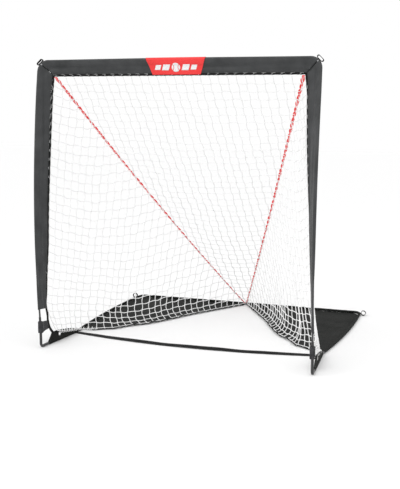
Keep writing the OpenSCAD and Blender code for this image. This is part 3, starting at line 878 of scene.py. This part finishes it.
FOOT = Vector((-HALF_W, FOOT_Y, 0))
leg_end = FOOT + LEG_LEN * ahead(-TOE_IN)
rod_end = FOOT + Vector((0, GOAL_DEPTH - BACK_ELBOW_R, 0))
first = rod_end - leg_end
first_r = first.length ** 2 / (8 * SIDE_BOW) + SIDE_BOW / 2
rod_turn = heading(first) + math.asin(first.length / (2 * first_r))
rod_start = leg_end + CRANK_R * (left_of(-TOE_IN) - left_of(rod_turn))
side_way = rod_end - rod_start
side_psi = rod_turn - heading(side_way)
SIDE_R = side_way.length / (2 * math.sin(side_psi))
side_centre = rod_start - SIDE_R * left_of(rod_turn)
end_turn = rod_turn - 2 * side_psi
back_bend_turn = math.pi / 2 + end_turn
bend_centre = rod_end - BACK_ELBOW_R * left_of(end_turn)
BACK_Y = bend_centre.y + BACK_ELBOW_R
BACK_X = bend_centre.x


def side_point(f, inset=0.0):
    """A point along the side rod at share f, inset towards the goal's middle."""
    return side_centre + (SIDE_R - inset) * left_of(rod_turn - 2 * side_psi * f)


def along_leg(y, out=0.0, z=0.0):
    """A point at distance y along the leg, out towards the outside, at height z."""
    return FOOT + y * ahead(-TOE_IN) + out * left_of(-TOE_IN) + Vector((0, 0, z))


print("back bar at", round(BACK_Y, 4), "side rod radius", round(SIDE_R, 3))

# %% [markdown]
# ## The hems on the ground
# The side and back hems are narrow tunnels of thin black cloth round the rods. Each is a tube
# that follows the rod's line, with small gathers across it, since a hem that goes round a bend
# always bunches up a little.

# %% Hems
HEM_R = TUNNEL_R - 0.0004
HEM_T = 0.0006
HEM_STUB = 0.010


def hem_line(v, length_side, length_bend, total):
    """The hem's centre and heading at share v, along the side rod, round the elbow and on."""
    s = v * total
    if s < length_side:
        f = s / length_side
        return side_point(f) + Vector((0, 0, BASE_Z)), rod_turn - 2 * side_psi * f
    if s < length_side + length_bend:
        turn = end_turn - (s - length_side) / BACK_ELBOW_R
        return bend_centre + BACK_ELBOW_R * left_of(turn) + Vector((0, 0, BASE_Z)), turn
    return (Vector((BACK_X + s - length_side - length_bend, BACK_Y, BASE_Z)), -math.pi / 2)


def hem_tube(steps, length, line):
    """A gathered tube of cloth along line(v), which gives its centre and heading."""
    def place(u, v):
        centre, turn = line(v)
        angle = 2 * math.pi * u
        gather = noise.noise(Vector((math.cos(angle) * 1.5, math.sin(angle) * 1.5, v * length * 60)))
        radius = HEM_R + 0.0007 * gather - 0.0003
        return centre + radius * (left_of(turn) * math.cos(angle) + Vector((0, 0, math.sin(angle))))
    return cloth_grid(20, steps, (2 * math.pi * HEM_R, length), place)


SIDE_LEN = 2 * side_psi * SIDE_R
BEND_LEN = back_bend_turn * BACK_ELBOW_R
HEM_LEN = SIDE_LEN + BEND_LEN + HEM_STUB


def side_hem(sign):
    """The hem of one side, from the crank to just past the back elbow."""
    start = 0.006 / HEM_LEN
    return hem_tube(240, HEM_LEN, lambda v: hem_line(start + (1 - start) * v, SIDE_LEN, BEND_LEN, HEM_LEN))


for hem in pair("side_hem", side_hem, ground_cloth, "base"):
    thicken(hem, HEM_T, -1)
back_half = -BACK_X - HEM_STUB - 0.0003
back = make_piece("back_hem_cloth", hem_tube(
    260, 2 * back_half, lambda v: (Vector(((2 * v - 1) * back_half, BACK_Y, BASE_Z)), -math.pi / 2)),
    ground_cloth, "base", ["back_hem"])
thicken(back, HEM_T, -1)

# %% [markdown]
# ## The gussets and their eyelets
# A gusset is a strip folded under the leg tube, whose two halves meet above it and stand up as a
# fin. The net pulls the fin's front corner up, and an eyelet there takes a peg. The strip is
# shaped in two directions, along the leg and round the section. The faces inside the eyelet are
# then deleted, and the metal ring's flange covers the cut edge, as it does on the real one.

# %% Gussets
GUSSET_FROM, GUSSET_TO = 0.058, 0.3025
GUSSET_TOPS = ((0.058, 0.088, 0.143, 0.200, 0.250, 0.3025),
               (0.0145, 0.0505, 0.0495, 0.0410, 0.0320, 0.0185))
EYE_Y, EYE_Z, EYE_CUT = 0.147, 0.031, 0.0066
GUSSET_W = 0.118


def gusset_section(u, y):
    """The folded strip's (distance out from the leg's middle, height) at u, from edge to edge."""
    top = between(y, *GUSSET_TOPS)
    radius = TUNNEL_R - 0.0004
    share = min(2 * u, 2 - 2 * u)
    side = 1 if u < 0.5 else -1
    if share > 0.6:
        angle = math.pi / 2 * (share - 0.6) / 0.4
        return side * radius * math.cos(angle), BASE_Z - radius * math.sin(angle)
    z = top + (BASE_Z - top) * share / 0.6
    half = 0.0013 + (radius - 0.0013) * (1 - smooth((z - BASE_Z) / 0.010))
    return side * half, z


def gusset(sign):
    """One gusset, with its eyelet hole cut."""
    def place(u, v):
        y = GUSSET_FROM + (GUSSET_TO - GUSSET_FROM) * v
        out, z = gusset_section(u, y)
        bend = noise.noise(Vector((y * 18, z * 25, 40 + sign))) * 0.004 * smooth((z - 0.016) / 0.02)
        calm = smooth((math.hypot(y - EYE_Y, z - EYE_Z) - 0.010) / 0.02)
        return along_leg(y, out + bend * calm, z)
    bm = cloth_grid(60, 116, (GUSSET_W, GUSSET_TO - GUSSET_FROM), place)
    eye = along_leg(EYE_Y, 0, EYE_Z)
    cut = []
    for face in bm.faces:
        off = face.calc_center_median() - eye
        if math.hypot(off.dot(ahead(-TOE_IN)), off.z) < EYE_CUT:
            cut.append(face)
    bmesh.ops.delete(bm, geom=cut, context="FACES")
    return bm


for fin in pair("gusset", gusset, ground_cloth, "base"):
    thicken(fin, 0.0008, 0)

# %% [markdown]
# ## The strap and the wrap at the sleeve's foot
# Below the sleeve, a narrow strap carries the mouth's inner edge on to the gusset. A hook-and-loop wrap
# goes round the post's knuckle, laps over itself, and reaches back to that strap. Both cross the folding
# axis; they are left on no body, with their placement baked into the mesh.

# %% Edge straps
EDGE_STRAP_W, EDGE_STRAP_T = 0.012, 0.0022


def through_points(points, t):
    """A smooth line through some points, read at share t. It is a Catmull-Rom curve."""
    s = min(max(t, 0.0), 1.0) * (len(points) - 1)
    i = min(int(s), len(points) - 2)
    f = s - i
    a, b = points[max(i - 1, 0)], points[i]
    c, d = points[i + 1], points[min(i + 2, len(points) - 1)]
    return 0.5 * (2 * b + (c - a) * f + (2 * a - 5 * b + 4 * c - d) * f * f
                  + (3 * b - a - 3 * c + d) * f ** 3)


strap_line = [flap_point(SLEEVE_FOOT + 0.004, FLAP_FOOT_W - TAPE_W / 2),
              FOOT + Vector((0.0095, 0.0475, 0.141)), FOOT + Vector((0.0085, 0.0515, 0.113)),
              FOOT + Vector((0.0070, 0.0700, 0.076)), along_leg(0.094, 0.0, 0.049)]


def edge_strap(sign):
    """The narrow strap from the sleeve's foot to the gusset."""
    def frame_at(v):
        centre = through_points(strap_line, v)
        way = (through_points(strap_line, v + 0.02) - through_points(strap_line, v - 0.02)).normalized()
        side = Vector((0.25, 1, 0)).normalized()
        side = (side - way * side.dot(way)).normalized()
        return centre, side, way.cross(side), 1.0
    return band(44, 0.15, EDGE_STRAP_W, EDGE_STRAP_T, frame_at)


def bend_at_knuckle(piece):
    """Bakes a piece's placement into its mesh."""
    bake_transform(piece)


for strap in pair("edge_strap", edge_strap, strap_webbing, None):
    bend_at_knuckle(strap)

# %% Rod wraps
WRAP_R, WRAP_T, WRAP_TURNS = 0.0094, 0.0016, 1.35
WRAP_LOW, WRAP_HIGH = 0.070, 0.120
WRAP_TAB = 0.046
WRAP_LEN = WRAP_TAB + 2 * math.pi * WRAP_R * WRAP_TURNS


def rod_wrap(sign):
    """The wrap: a tab that comes forward from the strap, and a turn and a third round the post."""
    def place(u, v):
        z = WRAP_LOW + (WRAP_HIGH - WRAP_LOW) * u
        s = v * WRAP_LEN
        sag = 0.0008 * noise.noise(Vector((s * 60, z * 40, 60 + sign)))
        if s < WRAP_TAB:
            t = s / WRAP_TAB
            back = 0.058 - 0.014 * u
            z_tab = z + (0.5 - u) * 0.010 * (1 - t)
            x = 0.0075 * (1 - t) + WRAP_R * smooth(t * t)
            return FOOT + Vector((x + sag, back + (0.0 - back) * t, z_tab))
        turn = (s - WRAP_TAB) / WRAP_R
        lap = WRAP_R + sag + (WRAP_T + 0.0004) * smooth((turn - 1.6 * math.pi) / (0.4 * math.pi))
        return FOOT + Vector((lap * math.cos(turn), -lap * math.sin(turn), z))
    return cloth_grid(24, 130, (WRAP_HIGH - WRAP_LOW, WRAP_LEN), place)


for wrap in pair("rod_wrap", rod_wrap, wrap_cloth, None):
    thicken(wrap, WRAP_T)
    bend_at_knuckle(wrap)

# %% [markdown]
# ## The ground wings and the strap between the legs
# In each back corner lies a wing of thin black cloth, sewn to the side hem and the back hem.
# Its free edge runs from the crank to the middle of the back bar in a curve, and the net hangs
# from it, so that edge lifts a little and the cloth ripples. A wing is a ruled sheet between
# those two lines. A strap of webbing lies across the ground between the two cranks.

# %% Wings
WING_EDGE = [Vector((x, y + FOOT_Y, 0)) for x, y in (
    (-0.533, 0.356), (-0.487, 0.386), (-0.443, 0.412), (-0.402, 0.475), (-0.333, 0.548), (-0.285, 0.627),
    (-0.240, 0.712), (-0.198, 0.797), (-0.135, 0.903), (-0.070, 1.012), (-0.012, 1.106))]
WING_GAP = math.sqrt(TUNNEL_R ** 2 - (TUNNEL_R - GROUND_T) ** 2) + 0.0006
WING_LIFT = 0.006
WING_T = 0.0007
WING_HEM_W = 0.013


def wing_outer(v):
    """The wing's sewn line: along the side hem, then across the corner and along the back hem."""
    if v < 0.55:
        return side_point(0.035 + 0.965 * v / 0.55, WING_GAP)
    corner = Vector((-HALF_W + BACK_ELBOW_R, BACK_Y - WING_GAP, 0))
    if v < 0.58:
        return side_point(1.0, WING_GAP).lerp(corner, (v - 0.55) / 0.03)
    return corner.lerp(Vector((-0.008, BACK_Y - WING_GAP, 0)), (v - 0.58) / 0.42)


def wing_lift(v):
    """How high the net lifts the wing's free edge."""
    return WING_LIFT * math.sin(math.pi * min(max(v, 0), 1)) ** 0.6 * (1 + 0.35 * math.sin(v * 61))


def wing(sign):
    """One ground wing."""
    def place(u, v):
        point = wing_outer(v).lerp(through_points(WING_EDGE, v), u)
        room = smooth(u / 0.12) * smooth((1 - u) / 0.05)
        wave = noise.noise(Vector((point.x * 9, point.y * 9, 80 + sign)))
        fine = noise.noise(Vector((point.x * 34, point.y * 22, 90 + sign)))
        height = 0.0012 + room * (0.0035 * max(0, wave + 0.3) + 0.0012 * max(0, fine + 0.2))
        height += wing_lift(v) * smooth((u - 0.82) / 0.18)
        return Vector((point.x, point.y, height))
    return cloth_grid(40, 130, (0.42, 1.25), place)


for fabric in pair("ground_wing", wing, ground_cloth, "base"):
    thicken(fabric, WING_T)
    side = fabric.name.split("_")[2]


def wing_hem(sign):
    """The doubled hem along the wing's free edge."""
    def frame_at(v):
        centre = through_points(WING_EDGE, v) + Vector((0, 0, 0.0016 + wing_lift(v)))
        way = through_points(WING_EDGE, v + 0.01) - through_points(WING_EDGE, v - 0.01)
        side = Vector((way.y, -way.x, 0)).normalized()
        return centre + side * -0.002, side, Vector((0, 0, 1)), 1.0
    return band(170, 1.0, WING_HEM_W, 0.0022, frame_at)


pair("wing_hem", wing_hem, ground_cloth, "base", "", False)

# %% The ground strap
STRAP_W, STRAP_BOW = 0.025, 0.072
strap_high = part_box("ground_strap")[1]
strap_reach = -leg_end.x
strap_r = (strap_reach ** 2 + STRAP_BOW ** 2) / (2 * STRAP_BOW)
strap_half = math.asin((strap_high.x - 0.003) / strap_r)
strap_centre = Vector((0, leg_end.y - STRAP_W / 2 + strap_r - STRAP_BOW, 0))


def strap_frame(v):
    """The strap's middle line: an arc across the ground. Its back edge stands up a little."""
    turn = strap_half * (2 * v - 1)
    face = Vector((math.sin(turn), -math.cos(turn), 0))
    free = math.sin(math.pi * v) ** 0.5
    rise = free * 0.0022 * (1 + noise.noise(Vector((v * 9, 0, 100))))
    tip = free * (0.25 + 0.10 * noise.noise(Vector((v * 6, 3, 100))))
    side = (face - Vector((0, 0, tip))).normalized()
    low = abs(side.z) * STRAP_W / 2
    up = side.cross(Vector((math.cos(turn), math.sin(turn), 0)))
    return strap_centre + face * strap_r + Vector((0, 0, GROUND_T / 2 + rise + low)), side, up, 1.0


make_piece("ground_strap_webbing", band(220, 2 * strap_half * strap_r, STRAP_W, 0.0015, strap_frame),
           strap_webbing, "base", ["ground_strap"])

# %% [markdown]
# ## The net
# The net is 38 mm square mesh of white twine: a panel at each side and one at the back. A side
# panel is a triangle with a right angle at the foot of the post, so its strands run along the
# post and along the ground. At the bottom it is stretched outwards to the crank, which makes a
# crease that fades upwards. Further back it is slack: it lies outwards over the wing before it
# rises. Each panel is a formula from its flat cloth to its place in the
# goal. Strands are then drawn along the two directions of the flat cloth as thin round curves,
# and each crossing gets a small knot.

# %% Lines that the net hangs from
NET_GAP = 0.0022
NET_DRIFT = 0.006
FRONT_STEPS = 12
RIBBON_W = 0.0135
SEAM_SAG = 0.022
seam_top = mitre_point(FLAP_W + 0.005)
apex = Vector((-0.006, BACK_Y - TUNNEL_R - 0.003, BASE_Z + 0.003))


def seam_point(t):
    """The red seam between a side panel and the back, from the top corner to the back bar."""
    return seam_top.lerp(apex, t) - Vector((0, 0, 4 * SEAM_SAG * t * (1 - t)))


def measured(line, steps=240):
    """Samples line(t), and gives a function that reads it by distance, and its length."""
    points = [line(i / steps) for i in range(steps + 1)]
    lengths = [0.0]
    for a, b in zip(points, points[1:]):
        lengths.append(lengths[-1] + (b - a).length)

    def at(distance):
        d = min(max(distance, 0.0), lengths[-1])
        low, high = 0, steps
        while high - low > 1:
            mid = (low + high) // 2
            low, high = (mid, high) if lengths[mid] <= d else (low, mid)
        share = (d - lengths[low]) / max(lengths[high] - lengths[low], 1e-9)
        return points[low].lerp(points[high], share)
    return at, lengths[-1]


foot_corner = FOOT + Vector((0.020, 0.096, 0.064))
ground_line = ([foot_corner, along_leg(0.143, -0.0050, 0.0440), along_leg(0.230, -0.0050, 0.0290),
                along_leg(0.300, -0.0070, 0.0175), FOOT + Vector((0.055, 0.335, 0.011))]
               + [point + Vector((-0.003, 0.003, 0.0085)) for point in WING_EDGE[1:-1]] + [apex])
front_points = [foot_corner]
for step in range(FRONT_STEPS + 1):
    flap_up = SLEEVE_FOOT + (FLAP_STEPS[-1] - SLEEVE_FOOT) * step / FRONT_STEPS
    front_points.append(flap_point(flap_up, FLAP_W * flap_share(flap_up) + NET_GAP))
front_points += [mitre_point(FLAP_W + 0.0016), seam_top]
ground_at, GROUND_LEN = measured(lambda t: through_points(ground_line, t))
front_at, FRONT_LEN = measured(lambda t: through_points(front_points, t))
CREASE = 0.245
DROOP = 0.045
LAG, BULGE = 0.105, 0.115
WING_WAY = Vector((-0.879, 0.477, 0))
print("net: side panel", round(FRONT_LEN, 3), "by", round(GROUND_LEN, 3))

# %% The two panel formulas


def side_net(p, q):
    """The side panel's cloth at p along the ground and q up the post."""
    share = 1 - p / GROUND_LEN
    height = max(FRONT_LEN * share, 1e-6)
    f = min(max(q / height, 0.0), 1.0)
    point = ground_at(p).lerp(seam_point(1 - share), f)
    line = foot_corner.lerp(seam_top, min(max(q / FRONT_LEN, 0), 1))
    near = math.exp(-p / 0.20) * (1 - (1 - smooth((1 - f) * 5)) * min(1, p / 0.05))
    point = point + (front_at(q) - line) * near
    droop = p / CREASE if p < CREASE else max(0.0, 1 - (p - CREASE) / 0.55)
    point.z -= DROOP * droop * math.sin(math.pi * f)
    slack = smooth((p - 0.26) / 0.26) * smooth((GROUND_LEN - p) / 0.35) * (1 - f) ** 1.3
    point.z -= LAG * (1 - math.exp(-q / 0.14)) * slack
    point += WING_WAY * (BULGE * (1 - math.exp(-q / 0.14)) * slack)
    give = smooth(min(f, 1 - f) * 6) * min(1, p / 0.05)
    drift = Vector((noise.noise(point * 7), noise.noise(point * 7 + Vector((9, 0, 0))), 0))
    return point + drift * NET_DRIFT * give


BACK_LEN = (seam_top - apex).yz.length
BELLY = 0.020
NET_LOW = 0.0045


def back_net(x, r):
    """The back panel's cloth at x across and r down from the top bar."""
    t = r / BACK_LEN
    edge = -seam_point(t).x + 0.003
    point = seam_point(t)
    across = min(max(x / max(edge, 1e-6), -1.0), 1.0)
    top = top_point(x, FLAP_W + NET_GAP)
    hang = math.exp(-r / 0.12) * (1 - across * across)
    inner = (1 - across * across) * math.sin(math.pi * min(t, 1))
    give = smooth((1 - abs(across)) * 6) * smooth(min(t, 1 - t) * 10)
    drift = Vector((noise.noise(Vector((x * 7, r * 7, 5))), 0, noise.noise(Vector((x * 7, r * 7, 9)))))
    place = Vector((across * edge, point.y, point.z - BELLY * inner))
    place += Vector((0, top.y - seam_top.y, top.z - seam_top.z)) * hang
    place += drift * NET_DRIFT * give
    place.z = max(place.z, NET_LOW)
    return place


# %% Twine and knots
TWINE_R = 0.0019
KNOT_R = 0.0028
BOW = 0.0025
STRAND_STEPS = 4


def twine(bm, lines, radius):
    """Adds round twine along each line of points."""
    curve = bpy.data.curves.new("twine_line", "CURVE")
    curve.dimensions = "3D"
    curve.bevel_depth = radius
    curve.bevel_resolution = 1
    curve.use_fill_caps = True
    for line in lines:
        spline = curve.splines.new("POLY")
        spline.points.add(len(line) - 1)
        spline.points.foreach_set("co", [c for point in line for c in (*point, 1.0)])
    holder = bpy.data.objects.new("twine_line", curve)
    scene.collection.objects.link(holder)
    mesh = bpy.data.meshes.new_from_object(holder.evaluated_get(bpy.context.evaluated_depsgraph_get()))
    bm.from_mesh(mesh)
    bpy.data.objects.remove(holder)
    bpy.data.curves.remove(curve)
    bpy.data.meshes.remove(mesh)


def knot(bm, place, way):
    """Adds a small knot, stretched along its strand."""
    turn = way.to_track_quat("X", "Z").to_matrix().to_4x4()
    stretch = Matrix.Diagonal((1.35, 1, 1, 1))
    bmesh.ops.create_icosphere(bm, subdivisions=1, radius=KNOT_R,
                               matrix=Matrix.Translation(place) @ turn @ stretch)


def strands(bm, cloth, first, last, second_range, pitch=NET_PITCH):
    """Draws strands at steps of the first direction, each along the second, and gives their lines."""
    lines = []
    for i in range(first, last + 1):
        low, high = second_range(i * pitch)
        if high - low < pitch * 0.4:
            continue
        count = max(2, int((high - low) / pitch * STRAND_STEPS))
        line = []
        for k in range(count + 1):
            s = low + (high - low) * k / count
            sway = BOW * math.sin(math.pi * (s / pitch + i)) * smooth(min(s - low, high - s) / pitch)
            line.append(cloth(i * pitch + sway, s))
        lines.append(line)
    twine(bm, lines, TWINE_R)
    return lines


def net_panel(cloth, columns, column_range, rows, row_range):
    """A panel of twine: its columns, its rows and the knots where they cross."""
    bm = bmesh.new()
    strands(bm, cloth, *columns, column_range)
    strands(bm, lambda q, p: cloth(p, q - 0.0016 * abs(math.sin(math.pi * p / NET_PITCH))),
            *rows, row_range)
    for i in range(columns[0], columns[1] + 1):
        low, high = column_range(i * NET_PITCH)
        for j in range(rows[0], rows[1] + 1):
            if low < j * NET_PITCH < high:
                place = cloth(i * NET_PITCH, j * NET_PITCH)
                knot(bm, place, cloth(i * NET_PITCH, j * NET_PITCH + 0.004) - place)
    return bm


def side_height(p):
    """How high the side panel's column at p reaches."""
    return 0.0, FRONT_LEN * (1 - p / GROUND_LEN)


def side_width(q):
    """How far the side panel's row at q reaches."""
    return 0.0, GROUND_LEN * (1 - q / FRONT_LEN)


def back_height(x):
    """How far down the back panel's column at x reaches."""
    share = (-seam_top.x - abs(x)) / (-seam_top.x + apex.x)
    return 0.0, BACK_LEN * max(share, 0)


def back_width(r):
    """How far the back panel's row at r reaches to each side."""
    edge = -seam_point(r / BACK_LEN).x
    return -edge, edge


LAY_LOW, LAY_RISE = 0.017, 0.020
FIN_LIFT = 0.045


def fold_share(point):
    """How much of the front frame's turn a point of the net takes. It turns about the knuckles
    until it lies just above the ground cloth, or over a gusset, and never past the frame."""
    back, up = point.y - FOOT_Y, point.z - HINGE_Z
    reach = max(math.hypot(back, up), 1e-6)
    over_fin = smooth((abs(point.x) - 0.55) / 0.03) * (1 - smooth((reach - 0.25) / 0.08))
    lay = LAY_LOW + LAY_RISE * point.z / GOAL_HEIGHT + FIN_LIFT * over_fin
    turn = math.atan2(up, back) + math.asin(min(max((HINGE_Z - lay) / reach, -1.0), 1.0))
    return min(max(turn / (math.pi / 2), 0.0), 1.0)


def fold_with_net(piece):
    """Bakes a piece of the net in place and works out each point's share of the front frame's turn; the
    shares are not used further.
    """
    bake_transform(piece)
    shares = [fold_share(vert.co) for vert in piece.data.vertices]


side_columns = (1, int(GROUND_LEN / NET_PITCH))
side_rows = (1, int(FRONT_LEN / NET_PITCH))
side_bm = net_panel(side_net, side_columns, side_height, side_rows, side_width)
for panel in pair("net", lambda sign: side_bm.copy(), net_twine, None, "_twine"):
    fold_with_net(panel)
side_bm.free()
back_reach = int(-seam_top.x / NET_PITCH)
back_rows = (1, int(BACK_LEN / NET_PITCH) - 1)
back_bm = net_panel(back_net, (-back_reach, back_reach), back_height, back_rows, back_width)
fold_with_net(make_piece("net_back_twine", back_bm, net_twine, None, ["net_back"]))

# %% [markdown]
# ## The net's edge cords, its lashing and the red seams
# A cord runs along every edge of the net. Twine is wound round that cord and through the tape or
# the hem beside it, so small white turns show all the way along the mouth and along the ground.
# At each seam a red ribbon is wound in with white twine, which pinches it at every turn. That is
# why a seam looks like a row of red dashes.

# %% Winding
LASH_PITCH = 0.038
MOUTH_LASH_R = 0.00045
TURN_STEPS = 10


def winding(line_at, length, pitch, wide, deep, across, over):
    """A line of twine wound round line_at. across and over are the two ways it swings."""
    count = int(length / pitch * TURN_STEPS)
    points = []
    for k in range(count + 1):
        d = length * k / count
        turn = 2 * math.pi * k / TURN_STEPS
        points.append(line_at(d) + across * (wide * math.cos(turn)) + over * (deep * math.sin(turn)))
    return points


def edge_line(lines, reach):
    """A line beside the inner edge of a sleeve, reach outside the cloth, read by distance."""
    def place(v):
        centre, edge = lines(v)
        return edge + (edge - centre).normalized() * reach
    return measured(place)


# %% Lashing on the front frame
bm = bmesh.new()
for lines, over, cut in ((sleeve_lines, SIDE_WAY.normalized(), 0.02),
                         (top_lines, TOP_WAY.normalized(), 0.0)):
    at, length = edge_line(lines, -0.0022)
    across = (sleeve_lines(0.3)[1] - sleeve_lines(0.3)[0]).normalized() if cut else Vector((0, 0, -1))
    line = winding(at, length - cut, LASH_PITCH, 0.0048, 0.0030, across, over)
    twine(bm, [line], MOUTH_LASH_R)
    if cut:
        twine(bm, [[Vector((-point.x, *point.yz)) for point in line]], MOUTH_LASH_R)
make_piece("mouth_lashing", bm, net_twine, "front_frame")

# %% Cords and lashing along the ground, and the red seams
CORD_R = 0.0016
FIN_LASH_R, HEM_LASH_R, SEAM_LASH_R = 0.0019, 0.0009, 0.0007
FIN_FROM, FIN_LASH_LEN, FIN_PITCH = 0.046, 0.27, 0.021
HEM_FROM, HEM_TRIM = 0.30, 0.32


def turn_up(line, low, high, step=0.012):
    """The points of a line between two distances."""
    count = int((high - low) / step)
    return [line(low + (high - low) * i / count) for i in range(count + 1)]


seam_at, SEAM_LEN = measured(seam_point)
seam_way = Vector((1, 0.2, 0)).normalized()
seam_over = Vector((0.1, -0.72, 0.69)).normalized()
RIBBON_PITCH = 0.031
WIND_FROM = 2 * RIBBON_PITCH
ground_bm, seam_bm = bmesh.new(), bmesh.new()
twine(ground_bm, [turn_up(ground_at, 0, GROUND_LEN), turn_up(front_at, 0, FRONT_LEN)], CORD_R)
flat_way = Vector((0.879, -0.477, 0))
fin_line = winding(lambda d: ground_at(d + FIN_FROM), FIN_LASH_LEN, FIN_PITCH, 0.0062, 0.0070,
                   flat_way, Vector((0, 0, 1)))
hem_line_up = winding(lambda d: ground_at(d + HEM_FROM) + Vector((0.002, -0.001, -0.0035)),
                      GROUND_LEN - HEM_TRIM, LASH_PITCH, 0.0058, 0.0042, flat_way,
                      Vector((0, 0, 1)))
twine(ground_bm, [fin_line], FIN_LASH_R)
twine(ground_bm, [hem_line_up], HEM_LASH_R)
twine(seam_bm, [turn_up(lambda d: seam_at(d) - seam_over * 0.0015, 0, SEAM_LEN)], CORD_R)
seam_line = winding(lambda d: seam_at(d + WIND_FROM), SEAM_LEN - WIND_FROM, RIBBON_PITCH,
                    0.0040, 0.0032, seam_way, seam_over)
twine(seam_bm, [seam_line], SEAM_LASH_R)
for name, bm in (("ground_lashing", ground_bm), ("seam_lashing", seam_bm)):
    for half in pair(name, lambda sign: bm.copy(), net_twine, None, "", False):
        fold_with_net(half)
    bm.free()


def seam_ribbon(sign):
    """The red ribbon. It narrows at each white turn, and flares out under the top corner."""
    def frame_at(v):
        d = v * SEAM_LEN
        loose = 0.85 + 0.75 * noise.noise(Vector((d * 13, 4, 130 + sign)))
        dash = abs(math.sin(math.pi * (d / RIBBON_PITCH - 0.25))) * min(max(loose, 0.25), 1.0)
        twist = 0.6 * noise.noise(Vector((d * 22, 0, 120 + sign)))
        flare = 1.15 - 0.45 * v + 0.55 * smooth(d / 0.010) * (1 - smooth((d - 0.010) / 0.05))
        side = (seam_way + seam_over * twist).normalized()
        face = side.cross(seam_at(d + 0.01) - seam_at(d - 0.01)).normalized()
        place = seam_at(d) + seam_over * (0.0026 + 0.0024 * dash)
        return place, side, face, flare * (0.30 + 0.75 * dash ** 0.5)
    return band(int(SEAM_LEN / 0.0035), SEAM_LEN, RIBBON_W, 0.0008, frame_at)


for ribbon in pair("seam_ribbon", seam_ribbon, red_ribbon, None):
    fold_with_net(ribbon)
print("lashing and ribbons made; seam length", round(SEAM_LEN, 3))

# %% [markdown]
# ## The narrow soft strips
# Webbing, wing hems and ribbons are sheets as well: long narrow ones. Each is printed with the width it
# was cut to and the length of its own line.

# %% Strip sizes
wing_line = measured(lambda t: through_points(WING_EDGE, t))[1]
edge_line_len = measured(lambda t: through_points(strap_line, t))[1]
oblong_len = 2 * (2 * 0.010 + math.pi * (0.004 + LOOP_T / 2))
ring_low, ring_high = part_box("back_loop_left")
ring_len = 2 * math.pi * ((ring_high.z - ring_low.z) / 2 - LOOP_T / 2)
for side, sign in SIDES:
    for name, width, length, held, rests in (
            (f"edge_strap_{side}_cloth", EDGE_STRAP_W, edge_line_len, "stretched",
             f"gusset_{side}_cloth"),
            (f"wing_hem_{side}", WING_HEM_W, wing_line, "stretched", f"ground_wing_{side}_cloth"),
            (f"top_loop_{side}_cloth", LOOP_W, oblong_len, "folded", f"sleeve_{side}_cloth"),
            (f"back_loop_{side}_cloth", LOOP_W, ring_len, "folded", f"side_hem_{side}_cloth"),
            (f"seam_ribbon_{side}_cloth", RIBBON_W, SEAM_LEN, "folded", f"seam_lashing_{side}")):
        print(name, round(width, 4), "by", round(length, 3))
